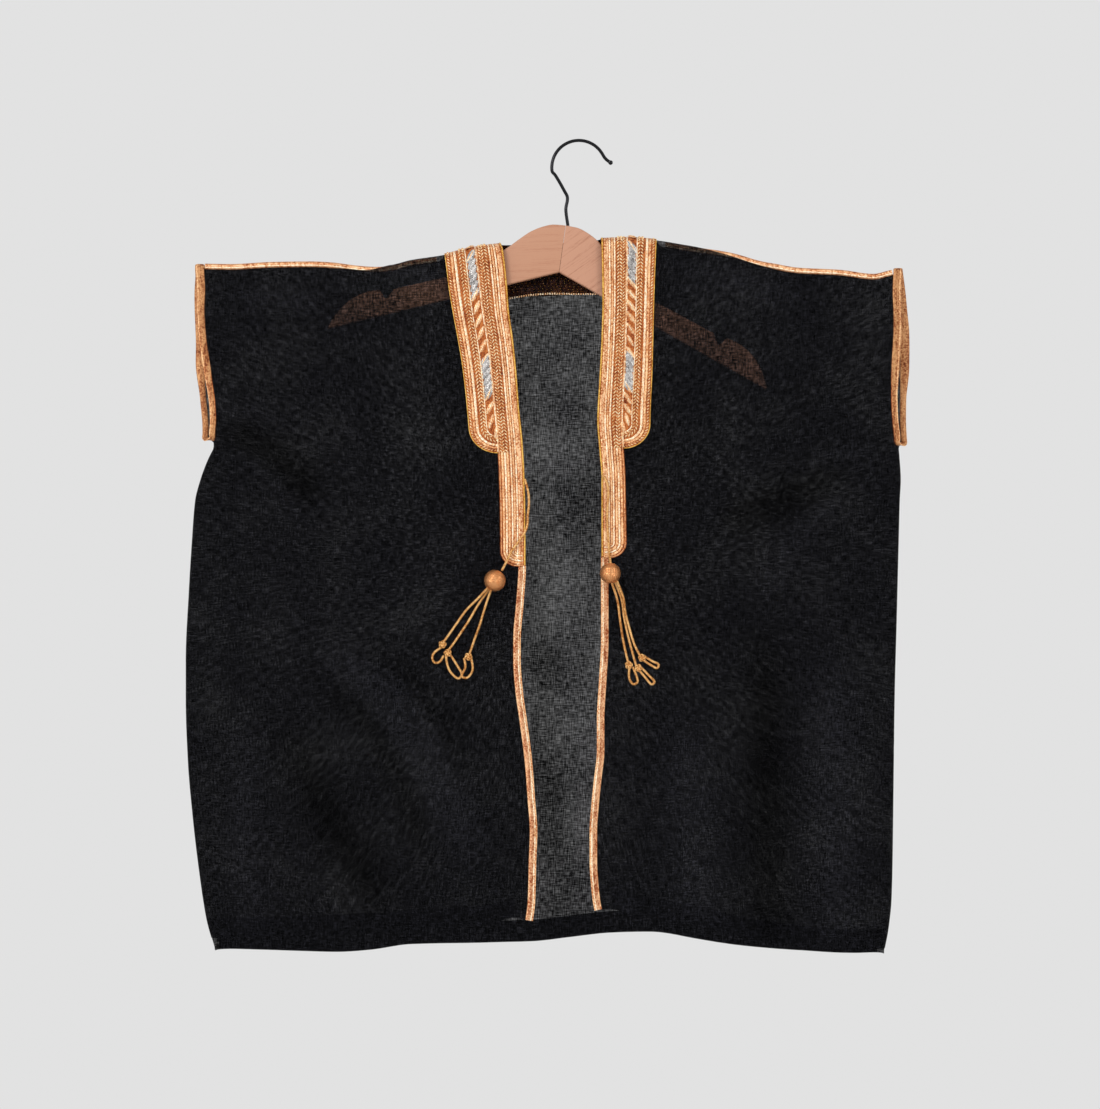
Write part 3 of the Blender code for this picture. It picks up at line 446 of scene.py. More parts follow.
# nodes and colours
def colour(hexText):
    parts = [int(hexText[i:i + 2], 16) / 255 for i in (1, 3, 5)]
    return tuple(c / 12.92 if c <= 0.04045 else ((c + 0.055) / 1.055)**2.4 for c in parts) + (1.0,)


def fill(tree, node, inputs):
    # a socket given as a value is linked, anything else is set
    for key, value in inputs.items():
        socket = node.inputs[key] if isinstance(key, int) else next(
            s for s in node.inputs if s.name == key and s.enabled)
        if isinstance(value, bpy.types.NodeSocket):
            tree.links.new(value, socket)
        else:
            socket.default_value = value


def addNode(tree, kind, inputs=None, **settings):
    node = tree.nodes.new(kind)
    for key, value in settings.items():
        setattr(node, key, value)
    fill(tree, node, inputs or {})
    return node


def mapped(tree, vector, **inputs):
    return addNode(tree, "ShaderNodeMapping", {"Vector": vector, **inputs}).outputs[0]


def noise(tree, vector, scale, detail, distortion=0.0):
    inputs = {"Vector": vector, "Scale": scale, "Detail": detail, "Distortion": distortion}
    return addNode(tree, "ShaderNodeTexNoise", inputs).outputs["Fac"]


def timesPlus(tree, value, times, plus):
    return addNode(tree, "ShaderNodeMath", {0: value, 1: times, 2: plus},
                   operation="MULTIPLY_ADD").outputs[0]


def bump(tree, height, strength, distance):
    return addNode(tree, "ShaderNodeBump", {"Height": height, "Strength": strength,
                                            "Distance": distance}).outputs[0]


def newMaterial(name):
    material = bpy.data.materials.new(name)
    material.use_nodes = True
    return material, material.node_tree, material.node_tree.nodes["Principled BSDF"]


def ramp(tree, fac, stops):
    node = addNode(tree, "ShaderNodeValToRGB", {"Fac": fac})
    elements = node.color_ramp.elements
    while len(elements) < len(stops):
        elements.new(0.5)
    for element, (position, hexText) in zip(elements, stops):
        element.position = position
        element.color = colour(hexText)
    return node.outputs["Color"]


# materials; every pattern scale is in metres through Object coordinates or the threads' own UV map
voileLook = {
    "fine": 960.0, "long": 130.0,     # noise cells for each metre across a thread and along it
    "clouds": 16.0, "sheen": 0.012,
    "lint": [(0.36, "#1e1e23"), (0.50, "#0b0b0d"), (0.61, "#040405")],
}


def makeVoile(name, clear):
  # sheer black plain weave: one wall is crossed at two faces, so one layer lets about clear squared through
    material, tree, shader = newMaterial(name)
    place = addNode(tree, "ShaderNodeTexCoord").outputs["Object"]
    fine, long = voileLook["fine"], voileLook["long"]
    warp = noise(tree, mapped(tree, place, Scale=(fine, 1.0, long)), 1.0, 2.0)
    weft = noise(tree, mapped(tree, place, Scale=(long, 1.0, fine)), 1.0, 2.0)
    clouds = noise(tree, place, voileLook["clouds"], 3.0)
    threads = addNode(tree, "ShaderNodeMath", {0: warp, 1: weft}, operation="ADD").outputs[0]
    mixed = timesPlus(tree, clouds, 0.6, threads)
    weave = addNode(tree, "ShaderNodeMapRange", {"Value": mixed, "From Min": 0.98, "From Max": 1.62,
                                                 "To Min": 1 - clear * 2.0, "To Max": 1 - clear * 0.02})
    lint = ramp(tree, timesPlus(tree, threads, 0.5, 0.0), voileLook["lint"])
    # fold crests painted lighter and hollows painted darker: painted light and painted shade of the folds
    crest = addNode(tree, "ShaderNodeAttribute", attribute_name="crest").outputs["Fac"]
    paintedFoldLight = addNode(tree, "ShaderNodeMapRange", {"Value": crest, "From Min": -1.0, "From Max": 1.0,
                                                  "To Min": 0.25, "To Max": 1.75})
    foldLitLint = addNode(tree, "ShaderNodeVectorMath", {0: lint, "Scale": paintedFoldLight.outputs[0]}, operation="SCALE")
    fill(tree, shader, {"Alpha": weave.outputs[0], "Base Color": foldLitLint.outputs[0],
                        "Normal": bump(tree, threads, 0.5, 0.0005), "Roughness": 0.85,
                        "Specular IOR Level": 0.03, "Sheen Weight": voileLook["sheen"],
                        "Sheen Roughness": 0.4})
    return material


def makeThread(name, dark, middle, light, metallic=0.45, roughness=0.3, pitch=0.0009, paintedHighlightWeight=0.75,
               grainy=0.95):
  # satin thread: fine strands across the piece's own UV map, and long patches of painted highlight and
  # painted shade along the floss
    material, tree, shader = newMaterial(name)
    place = addNode(tree, "ShaderNodeUVMap", uv_map="threadUv").outputs[0]
    strands = addNode(tree, "ShaderNodeTexWave", {"Vector": place, "Scale": 0.314 / pitch,
                                                  "Distortion": 1.6,
                                                  "Detail": 1.0, "Detail Scale": 3.0},
                      wave_type="BANDS", bands_direction="Y")
    space = addNode(tree, "ShaderNodeTexCoord").outputs["Object"]
    # long patches painted lighter and darker: painted highlight and painted shade of the satin
    paintedHighlightPatches = noise(tree, mapped(tree, space, Scale=(260.0, 260.0, 62.0)), 1.0, 2.0)
    grains = noise(tree, space, 700.0, 1.0)
    whole = timesPlus(tree, strands.outputs["Fac"], 0.22, 0.41 - (paintedHighlightWeight + grainy) / 2)
    whole = timesPlus(tree, grains, grainy, whole)
    whole = timesPlus(tree, paintedHighlightPatches, paintedHighlightWeight, whole)
    # dark stop is the thread's own tone with painted shade in the grooves, light stop a painted highlight
    # colour
    paint = ramp(tree, whole, [(0.16, dark), (0.42, middle), (0.62, light)])
    fill(tree, shader, {"Base Color": paint, "Normal": bump(tree, strands.outputs["Fac"], 0.7, 0.00015),
                        "Metallic": metallic, "Roughness": roughness, "Specular IOR Level": 0.3})
    return material


def makeBeech(name, lean, base, streak):
    # bent beech: long pale grain along the arm, short dark rays
    material, tree, shader = newMaterial(name)
    place = addNode(tree, "ShaderNodeTexCoord").outputs["Object"]
    turned = mapped(tree, place, Rotation=(0.0, lean, 0.0))
    grain = noise(tree, mapped(tree, turned, Scale=(16.0, 420.0, 720.0)), 1.0, 3.0, 0.4)
    flecks = noise(tree, mapped(tree, turned, Scale=(210.0, 700.0, 1600.0)), 1.0, 1.0)
    mixed = timesPlus(tree, flecks, 0.3, grain)
    paint = ramp(tree, mixed, [(0.42, streak), (0.62, base), (0.86, base)])
    fill(tree, shader, {"Base Color": paint, "Normal": bump(tree, mixed, 0.08, 0.0004), "Roughness": 0.38,
                        "Coat Weight": 0.25, "Coat Roughness": 0.2})
    return material


def makePlain(name, hexText, roughness, metallic=0.0):
    material, tree, shader = newMaterial(name)
    fill(tree, shader, {"Base Color": colour(hexText), "Roughness": roughness, "Metallic": metallic})
    return material


blackVoile = makeVoile("blackVoile", 0.225)                                     # the cloak's cloth
voileHem = makeVoile("voileHem", 0.10)                                         # the turned hem, two plies
goldSatin = makeThread("goldSatin", "#8f3d14", "#d68a52", "#fcd2a0")           # floss laid in ridges
# chain and edge stitches
goldChain = makeThread("goldChain", "#b8642a", "#eab272", "#ffeabf", roughness=0.26)
# ground under the stitches
rustFloss = makeThread("rustFloss", "#4a1808", "#95431a", "#c8763a", roughness=0.4)
creamThread = makeThread("creamThread", "#b8713a", "#f0bd88", "#fff0d2", metallic=0.4, roughness=0.24)
ochreCord = makeThread("ochreCord", "#8c5410", "#cf9130", "#f2c566", roughness=0.35)   # edge cord
rustSatin = makeThread("rustSatin", "#7a3210", "#c5733c", "#ffd2a2", roughness=0.26)   # flat laid strip
pipeSatin = makeThread("pipeSatin", "#64260c", "#b05f32", "#e6b488")  # floss over the pipings
# the same, deeper, at the cuffs
cuffSatin = makeThread("cuffSatin", "#55220a", "#98542a", "#d09a68", roughness=0.34)
cordGold = makeThread("cordGold", "#7d3d12", "#c9853f", "#efbf7e", roughness=0.32)      # twisted tie cords
ballSatin = makeThread("ballSatin", "#7a2f0c", "#c06c34", "#ecb079", metallic=0.75, roughness=0.25,
                       paintedHighlightWeight=0.2,
                      grainy=0.15)  # floss on balls
silverThread = makeThread("silverThread", "#5e5c5a", "#979391", "#c8c4c0", metallic=0.6, roughness=0.25)
beechLeft = makeBeech("beechLeft", 0.05, "#bc886a", "#b0795c")  # left half of the bent hanger
beechRight = makeBeech("beechRight", 0.62, "#c08c70", "#a56f54")  # right half, grain running down
hookSteel = makePlain("hookSteel", "#2a2a2c", 0.22, 1.0)                       # dark polished wire


# stitches: small satin petals set along lines by one Geometry Nodes tree
def makePetal(name, size, material, sides=6, rings=4):
    # half of a plump spindle, long way along X, domed along Z
    long, wide, high = size
    vertices, faces = [], []
    for i in range(rings + 1):
        t = i / rings
        swell = math.sin(math.pi * (0.06 + 0.88 * t))**0.75
        for k in range(sides + 1):
            turn = math.pi * k / sides
            vertices.append((long * (t - 0.5), wide / 2 * swell * math.cos(turn),
                             high * swell * math.sin(turn)))
    for i in range(rings):
        for k in range(sides):
            a = i * (sides + 1) + k
            faces.append((a, a + 1, a + sides + 2, a + sides + 1))
    mesh = bpy.data.meshes.new(name)
    mesh.from_pydata((np.array(vertices) * mm).tolist(), [], faces)
    layer = mesh.uv_layers.new(name="threadUv")
    corner = 0
    for polygon in mesh.polygons:
        for vertex in polygon.vertices:
            x, y, _ = mesh.vertices[vertex].co
            layer.data[corner].uv = (x, y * 1.3)
            corner += 1
    mesh.shade_smooth()
    mesh.materials.append(material)
    petal = newObject(name, mesh)
    petal.hide_render = True
    return petal


def makeStitchTree():
    tree = bpy.data.node_groups.new("stitchRow", "GeometryNodeTree")
    sockets = {}
    for name, kind in [("Geometry", "NodeSocketGeometry"), ("Petal", "NodeSocketObject"),
                       ("Spacing", "NodeSocketFloat"), ("Lean", "NodeSocketFloat"),
                       ("Tip", "NodeSocketFloat"),
                       ("Seed", "NodeSocketInt"), ("Thread", "NodeSocketMaterial")]:
        sockets[name] = tree.interface.new_socket(name, in_out="INPUT", socket_type=kind).identifier
    tree.interface.new_socket("Geometry", in_out="OUTPUT", socket_type="NodeSocketGeometry")
    given = addNode(tree, "NodeGroupInput")
    result = addNode(tree, "NodeGroupOutput")
    up = addNode(tree, "GeometryNodeInputNamedAttribute", {"Name": "up"}, data_type="FLOAT_VECTOR")
    kept = addNode(tree, "GeometryNodeCaptureAttribute", {"Geometry": given.outputs["Geometry"]})
    kept.capture_items.new("VECTOR", "up")
    tree.links.new(up.outputs["Attribute"], kept.inputs[1])
    line = addNode(tree, "GeometryNodeMeshToCurve", {"Mesh": kept.outputs[0]})
    spaced = addNode(tree, "GeometryNodeResampleCurve", {"Curve": line.outputs[0]}, mode="LENGTH")
    tree.links.new(given.outputs["Spacing"], spaced.inputs["Length"])
    tangent = addNode(tree, "GeometryNodeInputTangent")
    facing = addNode(tree, "FunctionNodeAxesToRotation", {"Primary Axis": kept.outputs[1],
                                                          "Secondary Axis": tangent.outputs[0]},
                     primary_axis="Z", secondary_axis="X")
    wobble = addNode(tree, "FunctionNodeRandomValue", {"Min": -0.09, "Max": 0.09,
                                                       "Seed": given.outputs["Seed"]},
                     data_type="FLOAT")
    lean = addNode(tree, "ShaderNodeMath", {0: given.outputs["Lean"], 1: wobble.outputs[1]},
                   operation="ADD")
    turnAxes = addNode(tree, "ShaderNodeCombineXYZ", {"Y": given.outputs["Tip"], "Z": lean.outputs[0]})
    turned = addNode(tree, "FunctionNodeRotateRotation", {"Rotation": facing.outputs[0]},
                     rotation_space="LOCAL")
    euler = addNode(tree, "FunctionNodeEulerToRotation", {"Euler": turnAxes.outputs[0]})
    tree.links.new(euler.outputs[0], turned.inputs["Rotate By"])
    size = addNode(tree, "FunctionNodeRandomValue", {"Min": 0.9, "Max": 1.1, "Seed": given.outputs["Seed"]},
                   data_type="FLOAT")
    petal = addNode(tree, "GeometryNodeObjectInfo", {"Object": given.outputs["Petal"]})
    placed = addNode(tree, "GeometryNodeInstanceOnPoints", {"Points": spaced.outputs[0],
                                                            "Instance": petal.outputs["Geometry"],
                                                            "Rotation": turned.outputs[0],
                                                            "Scale": size.outputs[1]})
    real = addNode(tree, "GeometryNodeRealizeInstances", {"Geometry": placed.outputs[0]})
    painted = addNode(tree, "GeometryNodeSetMaterial", {"Geometry": real.outputs[0],
                                                        "Material": given.outputs["Thread"]})
    tree.links.new(painted.outputs[0], result.inputs["Geometry"])
    return tree, sockets


stitchTree, stitchSockets = makeStitchTree()


def stitchRow(name, lines, petal, spacing, lean, material, tip=0.0, seed=1):
    # lines: (points, ups) pairs in millimetres; each becomes a row of petals, made plain at once
    vertices, edges, ups = [], [], []
    for points, upward in lines:
        start = len(vertices)
        vertices += (np.asarray(points) * mm).tolist()
        ups += np.asarray(upward).tolist()
        edges += [(start + k, start + k + 1) for k in range(len(points) - 1)]
    mesh = bpy.data.meshes.new(name + "Line")
    mesh.from_pydata(vertices, edges, [])
    mesh.attributes.new("up", "FLOAT_VECTOR", "POINT").data.foreach_set("vector", np.array(ups).ravel())
    line = newObject(name + "Line", mesh)
    modifier = line.modifiers.new("stitches", "NODES")
    modifier.node_group = stitchTree
    values = {"Petal": petal, "Spacing": spacing * mm, "Lean": math.radians(lean), "Tip": math.radians(tip),
              "Seed": seed, "Thread": material}
    for key, value in values.items():
        modifier[stitchSockets[key]] = value
    ready = line.evaluated_get(bpy.context.evaluated_depsgraph_get())
    made = bpy.data.meshes.new_from_object(ready)
    made.name = name
    made.materials.clear()
    made.materials.append(material)
    line.modifiers.clear()
    bpy.data.objects.remove(line, do_unlink=True)
    return newObject(name, made)


# camera, light and floor
def makeCamera():
    data = bpy.data.cameras.new("frontView")
    data.sensor_fit = "HORIZONTAL"
    data.sensor_width = view["sensor"]
    data.lens = view["sensor"] * (view["distance"] + view["plane"]) / view["spanWide"]
    camera = newObject("frontView", data)
    camera.location = (view["centre"][0], -view["distance"], view["centre"][1])
    camera.rotation_euler = (math.radians(90), 0, 0)
    bpy.context.scene.camera = camera


def makeLight(name, place, aim, size, power):
    data = bpy.data.lights.new(name, "AREA")
    data.shape = "RECTANGLE"
    data.size, data.size_y = size
    data.energy = power
    light = newObject(name, data)
    light.location = place
    light.rotation_euler = (Vector(aim) - Vector(place)).to_track_quat("-Z", "Y").to_euler()


studio = {"grey": 0.76, "floorDrop": -1.25, "floorRadius": 1.5}
makeCamera()
world = bpy.data.worlds.new("paleRoom")
bpy.context.scene.world = world
world.use_nodes = True
world.node_tree.nodes["Background"].inputs["Color"].default_value = (studio["grey"],) * 3 + (1.0,)
bpy.context.scene.view_settings.view_transform = "Standard"
makeLight("frontLeft", (-1.9, -2.6, 0.9), (0, 0, -0.35), (1.2, 1.2), 42)
makeLight("frontRight", (2.0, -2.4, 0.3), (0, 0, -0.35), (0.9, 1.4), 18)
floorMesh = bpy.data.meshes.new("paleFloor")
floorBm = bmesh.new()
bmesh.ops.create_circle(floorBm, cap_ends=True, segments=96, radius=studio["floorRadius"])
floorBm.to_mesh(floorMesh)
floorBm.free()
floorMesh.materials.append(makePlain("paleFloorPaint", "#dddddc", 0.8))
floor = newObject("paleFloor", floorMesh)
floor.location = (0, 0, studio["floorDrop"])
print("camera, light and floor ready")

# tie cords, settled early: routes from the exit to the end, as the part has them
cordLook = {"diameter": 2.4, "step": 0.5, "pitch": 4.6, "lobes": 3}
cordRoutes = {
    "left_tie_cord": [(-52.5, -16.9, -327), (-50.3, -17.1, -334), (-48.6, -17.3, -343),
                      (-48.4, -17.5, -353),
                      (-49.4, -17.7, -362), (-49.8, -17.9, -371), (-52.5, -18.0, -379), (-58, -18.3, -387),
                      (-64.5, -18.6, -396), (-68.5, -20, -404), (-73.2, -24, -413.2)],
    "left_tail_a": [(-89.4, -25, -433.8), (-98, -20.5, -443), (-109, -17.2, -454), (-119, -17.0, -468),
                    (-126, -17.1, -478), (-129.4, -17.2, -482.6)],
    "left_tail_b": [(-88.0, -21.5, -435.2), (-97, -17.6, -448), (-106.5, -17.1, -464), (-117, -17.2, -480),
                    (-124.7, -17.3, -490.7)],
    "left_tail_c": [(-85.5, -24.5, -436.3), (-90, -19, -449), (-95.5, -17.2, -467), (-100.5, -17.2, -481),
                    (-105, -17.4, -494)],
    "left_loop_a": [(-134, -17.2, -490.4), (-139, -17.3, -494), (-141.5, -17.3, -499),
                    (-139.5, -17.3, -504),
                    (-134.5, -17.3, -503.5), (-131.8, -17.3, -499.5)],
    "left_loop_b": [(-128.0, -17.4, -499.8), (-126.5, -17.4, -508), (-122.5, -17.5, -515),
                    (-116.5, -17.5, -519.5), (-113.2, -17.5, -515), (-117.5, -17.5, -507),
                    (-122.3, -17.4, -499.3)],
    "left_loop_c": [(-110.6, -17.5, -502.2), (-109.6, -20.1, -508.5), (-113, -20.3, -517),
                    (-107.5, -20.3, -518.5), (-102.6, -17.6, -511), (-103.6, -17.5, -502.6)],
    "right_tie_cord": [(22.4, -16.9, -323), (26, -17.1, -329), (28, -17.3, -336), (28.2, -17.5, -344),
                       (27.4, -17.7, -355), (27.2, -17.9, -367), (28, -18.2, -383), (29, -19.0, -396),
                       (29.7, -22, -404), (30, -25, -407.1)],
    "right_tail_a": [(32.2, -24.5, -429.2), (37, -19, -444), (39.4, -17.2, -462), (42.6, -17.2, -483),
                     (46.8, -17.4, -502.2)],
    "right_tail_b": [(35.4, -21, -428.3), (41.2, -17.6, -444), (43.4, -17.2, -460), (48.4, -17.2, -483),
                     (54.6, -17.4, -505.6)],
    "right_tail_c": [(37.4, -25.5, -427.8), (42.4, -21.2, -441), (44.6, -20.0, -456), (49, -19.6, -473),
                     (53.5, -18.4, -487), (57.8, -17.5, -495.6)],
    "right_loop_a": [(48.4, -17.5, -512), (48.4, -17.5, -519), (52.2, -17.6, -525), (56.4, -17.6, -522.6),
                     (55.2, -17.6, -516.6), (52.8, -17.6, -510.6)],
    "right_loop_b": [(60.2, -17.5, -514.2), (64.2, -17.6, -519), (69.6, -17.6, -525), (72.6, -17.6, -522.4),
                     (67.4, -17.6, -516.6), (62.6, -17.6, -511.6)],
    "right_loop_c": [(64.6, -17.5, -503.6), (69, -17.5, -506.5), (75, -17.6, -509.5), (76.5, -17.6, -505.8),
                     (70.5, -17.6, -502.8), (65.2, -17.5, -499.6)],
}
knots = {
    "left_knot_a": (-131.6, -18.6, -486.6), "left_knot_b": (-126.6, -18.8, -495.0),
    "left_knot_c": (-106.6, -18.8, -498.4), "right_knot_a": (48.0, -18.8, -506.6),
    "right_knot_b": (57.2, -18.8, -509.4), "right_knot_c": (60.8, -18.9, -499.6),
}
balls = {
    "left_tie_ball": {"centre": (-81.0, -26.6, -425.0), "radius": 10.5, "axis": (0.62, 0.1, 0.78),
                      "ribs": 34},
    "right_tie_ball": {"centre": (30.0, -26.6, -418.0), "radius": 10.2, "axis": (0.06, 0.1, 1.0),
                       "ribs": 34},
}


def threadBall(name, centre, radius, axis, ribs, material, around=204, rows=48):
    # satin thread wound over a bead: fine meridian ribs that meet in a dimple at each pole
    turns = np.linspace(0, 2 * math.pi, around, endpoint=False)
    heights = np.linspace(0.03, math.pi - 0.03, rows)
    up = np.array(axis) / np.linalg.norm(axis)
    side = np.cross(up, (0, 1, 0))
    side /= np.linalg.norm(side)
    front = np.cross(side, up)
    rib = 0.14 * np.abs(np.cos(ribs * turns / 2))[None, :] * np.sin(heights)[:, None]
    dimple = 0.9 * np.exp(-(np.minimum(heights, math.pi - heights) / 0.16)**2)[:, None]
    reach = radius - 0.25 + rib - dimple
    flat = reach * np.sin(heights)[:, None]
    rings = (np.array(centre) + (flat * np.cos(turns))[..., None] * side
             + (flat * np.sin(turns))[..., None] * front + (reach * np.cos(heights)[:, None])[...,
                                                                                              None] * up)
    return ringMesh(name, rings, material, smoothAngle=80)


def knotPiece(name, centre, material, size=4.1, cord=1.9):
    # overhand knot drawn tight: a cord wound round itself, flattened against the cloth
    t = np.linspace(0, 2 * math.pi, 132, endpoint=False)
    lean = sum(map(ord, name)) % 7 * 0.45
    flat = 1.0 + 0.62 * np.cos(5 * t)
    path = np.stack([flat * np.cos(2 * t + lean), 0.55 * np.sin(5 * t), flat * np.sin(2 * t + lean)],
                    axis=1)
    path = path * (size - cord / 2) / 1.62 + np.array(centre)
    tangents = unit(np.roll(path, -1, 0) - np.roll(path, 1, 0))
    sideways = unit(np.cross(tangents, (0.1, 1.0, 0.05)))
    ups = np.cross(sideways, tangents)
    angles = 2 * math.pi * np.arange(12) / 12
    radius = cord / 2 * (0.94 + 0.1 * np.cos(3 * angles[None, :] - 15 * t[:, None]))
    rings = ringsOf(path, sideways, ups, radius * np.cos(angles), radius * np.sin(angles))
    return ringMesh(name, rings, material, closed=True)


def reachedOut(route, start, end):
    # a route whose ends run on a little way, into the ball or knot that they meet
    p = np.array(route, float)
    first, last = p[0] - p[1], p[-1] - p[-2]
    p[0] += first / np.linalg.norm(first) * start
    p[-1] += last / np.linalg.norm(last) * end
    return p


made = {}
paths = {}
for name, route in cordRoutes.items():
    start, end = (0.0, 3.0) if "tie" in name else (2.6, 2.6)
    paths[name] = smoothRoute(reachedOut(route, start, end), cordLook["step"])
    made[name] = twistedCord(name, paths[name], cordLook["diameter"], cordGold, cordLook["lobes"],
                             cordLook["pitch"], rounded=True)
for name, centre in knots.items():
    made[name] = knotPiece(name, centre, cordGold)
for name, look in balls.items():
    made[name] = threadBall(name, look["centre"], look["radius"], look["axis"], look["ribs"], ballSatin)
for name, piece in made.items():
    settle(piece, "gold_cord", name)


for side in ("left", "right"):
    for letter in "abc":
        name = f"{side}_tail_{letter}"
print("tie cords ready")


# cloth panels
def panelShares(count, softTop=0.012):
    even = np.linspace(0, 1, count)
    return np.unique(np.concatenate([even**1.15, softTop * np.array([0.02, 0.08, 0.2, 0.4, 0.7])]))


def panelGrid(panel, xAt, shares):
    # xAt(z, column) gives x; each row is a share of the way from the top edge to the hem
    hem = panel["hem"]
    z = np.full((len(xAt.columns), len(shares)), -400.0)
    for _ in range(6):
        x = xAt(z)
        top = topOf(panel, x)
        z = top + (curve(hem, x) - top) * shares[None, :]
    return x, z


class FrontColumns:
    def __init__(self, front, count):
        self.front = front
        self.columns = np.sin(np.linspace(0, 1, count) * math.pi / 2)**0.8

    def __call__(self, z):
        start = freeEdge(self.front, z)
        end = sideX(self.front, z, 1)
        return start + (end - start) * self.columns[:, None]


class BackColumns:
    def __init__(self, count):
        spread = np.linspace(-1, 1, count)
        self.columns = 0.5 + 0.5 * np.sin(spread * math.pi / 2) * 0.35 + 0.5 * spread * 0.65

    def __call__(self, z):
        start = sideX(left, z, 2)
        end = sideX(right, z, 2)
        return start + (end - start) * self.columns[:, None]


def freeEdge(front, z):
    # a front panel's free edge: under the bands, then inside the front edge piping
    below = ease(-front["bandEnd"], -front["bandEnd"] + 3.5, -np.asarray(z, float))
    return curve(front["frontEdge"], z) - front["inward"] * (0.5 + 5.6 * below)


def clothPanel(name, panel, columns, rows):
    x, z = panelGrid(panel, columns, panelShares(rows))
    outer, _ = onCloth(panel, x, z, cloth["wall"] / 2)
    inner, _ = onCloth(panel, x, z, -cloth["wall"] / 2)
    piece = shell(name, outer, inner, blackVoile)
    # painted light on the crests of the folds and painted shade in their hollows, stored as crest
    crest = np.clip(foldHeight(backFolds if panel is back else frontFolds, x, z) / 3.2, -1, 1).ravel()
    layer = piece.data.attributes.new("crest", "FLOAT", "POINT")
    values = np.zeros(len(piece.data.vertices))
    values[:2 * crest.size] = np.tile(crest, 2)
    layer.data.foreach_set("value", values)
    return piece, x, z


def hemStrip(name, panel, x, z, deep):
    # turned hem on the inside of the cloth, following the same columns
    bottom = z[:, -1]
    steps = np.linspace(deep, 0.6, 9)
    hemX = np.array([np.interp(bottom[i] + steps, z[i, ::-1], x[i, ::-1]) for i in range(len(x))])
    hemZ = bottom[:, None] + steps[None, :]
    keep = slice(2, len(x) - 3)
    outer, _ = onCloth(panel, hemX[keep], hemZ[keep], -0.45)
    inner, _ = onCloth(panel, hemX[keep], hemZ[keep], -1.05)
    return shell(name, outer, inner, voileHem)


panels = {}
hems = {}
for half in (left, right):
    name = half["name"]
    piece, x, z = clothPanel(f"front_panel_{name}", half, FrontColumns(half, 150), 210)
    panels[name] = settle(piece, "black_voile", f"front_panel_{name}")
    hems[name] = settle(hemStrip(f"front_hem_{name}", half, x, z, 19.0), "black_voile", f"front_hem_{name}")
piece, x, z = clothPanel("back_panel", back, BackColumns(236), 205)
panels["back"] = settle(piece, "black_voile", "back_panel")
hems["back"] = settle(hemStrip("back_hem", back, x, z, 21.0), "black_voile", "back_hem")
print("cloth panels ready")


# gold bands: columns of ridges, chains and leaves down a strip of rust floss
bands = {
    "stripLift": 0.8, "stripWall": 0.8,          # the floss ground, above the cloth's middle
    "wideCorner": 0.48, "wideCornerHigh": 24.0,  # where the outer columns turn in, as a share of the width
    "narrowCorner": 0.14, "narrowCornerHigh": 15.0,
    "narrowWidth": 0.475, "rowStep": 1.1,
}


def bandFoot(front):
    # height of the wide band's rounded foot
    return front["bandEnd"] + front["footRise"]


def bandX(front, share, z):
    start = curve(front["frontEdge"], z) - front["inward"] * 0.5
    return start + (curve(front["bandEdge"], z) - start) * share


def bandTop(front, share):
    z = -100.0
    for _ in range(5):
        z = float(topOf(front, bandX(front, share, z)))
    return z


def columnLine(front, share, outerColumn, endShare, start=None):
    # (x, z) points down a column and round the band's lower corner to the inner columns
    if outerColumn:
        corner, high, foot, most = bands["wideCorner"], bands["wideCornerHigh"], bandFoot(front), 1.0
    else:
        corner, high, foot = bands["narrowCorner"], bands["narrowCornerHigh"], front["bandEnd"]
        most = bands["narrowWidth"]
    top = bandTop(front, share) - 0.4 if start is None else start
    reach = share - corner
    if reach <= 0.01:
        z = np.arange(top, foot + 0.8, -0.8)
        return bandX(front, share, z), z
    z = np.arange(top, foot + high, -0.8)
    turn = np.linspace(0, math.pi / 2, 22)[1:]
    arcZ = foot + high - high * reach / (most - corner) * np.sin(turn)
    shares = np.concatenate([np.full(len(z), share), corner + reach * np.cos(turn)])
    z = np.concatenate([z, arcZ])
    if endShare < corner:
        more = np.linspace(corner, endShare, 14)[1:]
        shares = np.concatenate([shares, more])
        z = np.concatenate([z, np.full(len(more), arcZ[-1])])
    return bandX(front, shares, z), z


def evenLine(x, z, step):
    run = np.concatenate([[0], np.cumsum(np.hypot(np.diff(x), np.diff(z)))])
    at = np.linspace(0, run[-1], max(3, round(run[-1] / step)) + 1)
    return np.interp(at, run, x), np.interp(at, run, z)


def ribbon(name, panel, x, z, width, high, lift, material, lump=0.0, lumpPitch=2.6, step=0.8, sides=7):
    # domed satin ridge along a line on the cloth, with a flat underside
    x, z = evenLine(x, z, step)
    points, normals = onCloth(panel, x, z, lift)
    sideways = np.cross(normals, unit(np.gradient(points, axis=0)))
    run = np.arange(len(x)) * step
    swell = 1 + lump * np.sin(2 * math.pi * run / lumpPitch + 0.6 * np.sin(run / 9.0))
    ends = quarter(np.minimum(run, run[-1] - run) / max(width / 2, 0.6) + 0.1)
    rings = []
    for k in range(sides):
        turn = math.pi * k / (sides - 1)
        rings.append(points + sideways * (width / 2 * math.cos(turn) * swell * ends)[:, None]
                     + normals * (high * math.sin(turn)**0.8 * swell * ends)[:, None])
    return ringMesh(name, np.stack(rings, axis=1), material, smoothAngle=60)


def lineOn(panel, x, z, lift, step=0.9):
    x, z = evenLine(x, z, step)
    return onCloth(panel, x, z, lift)


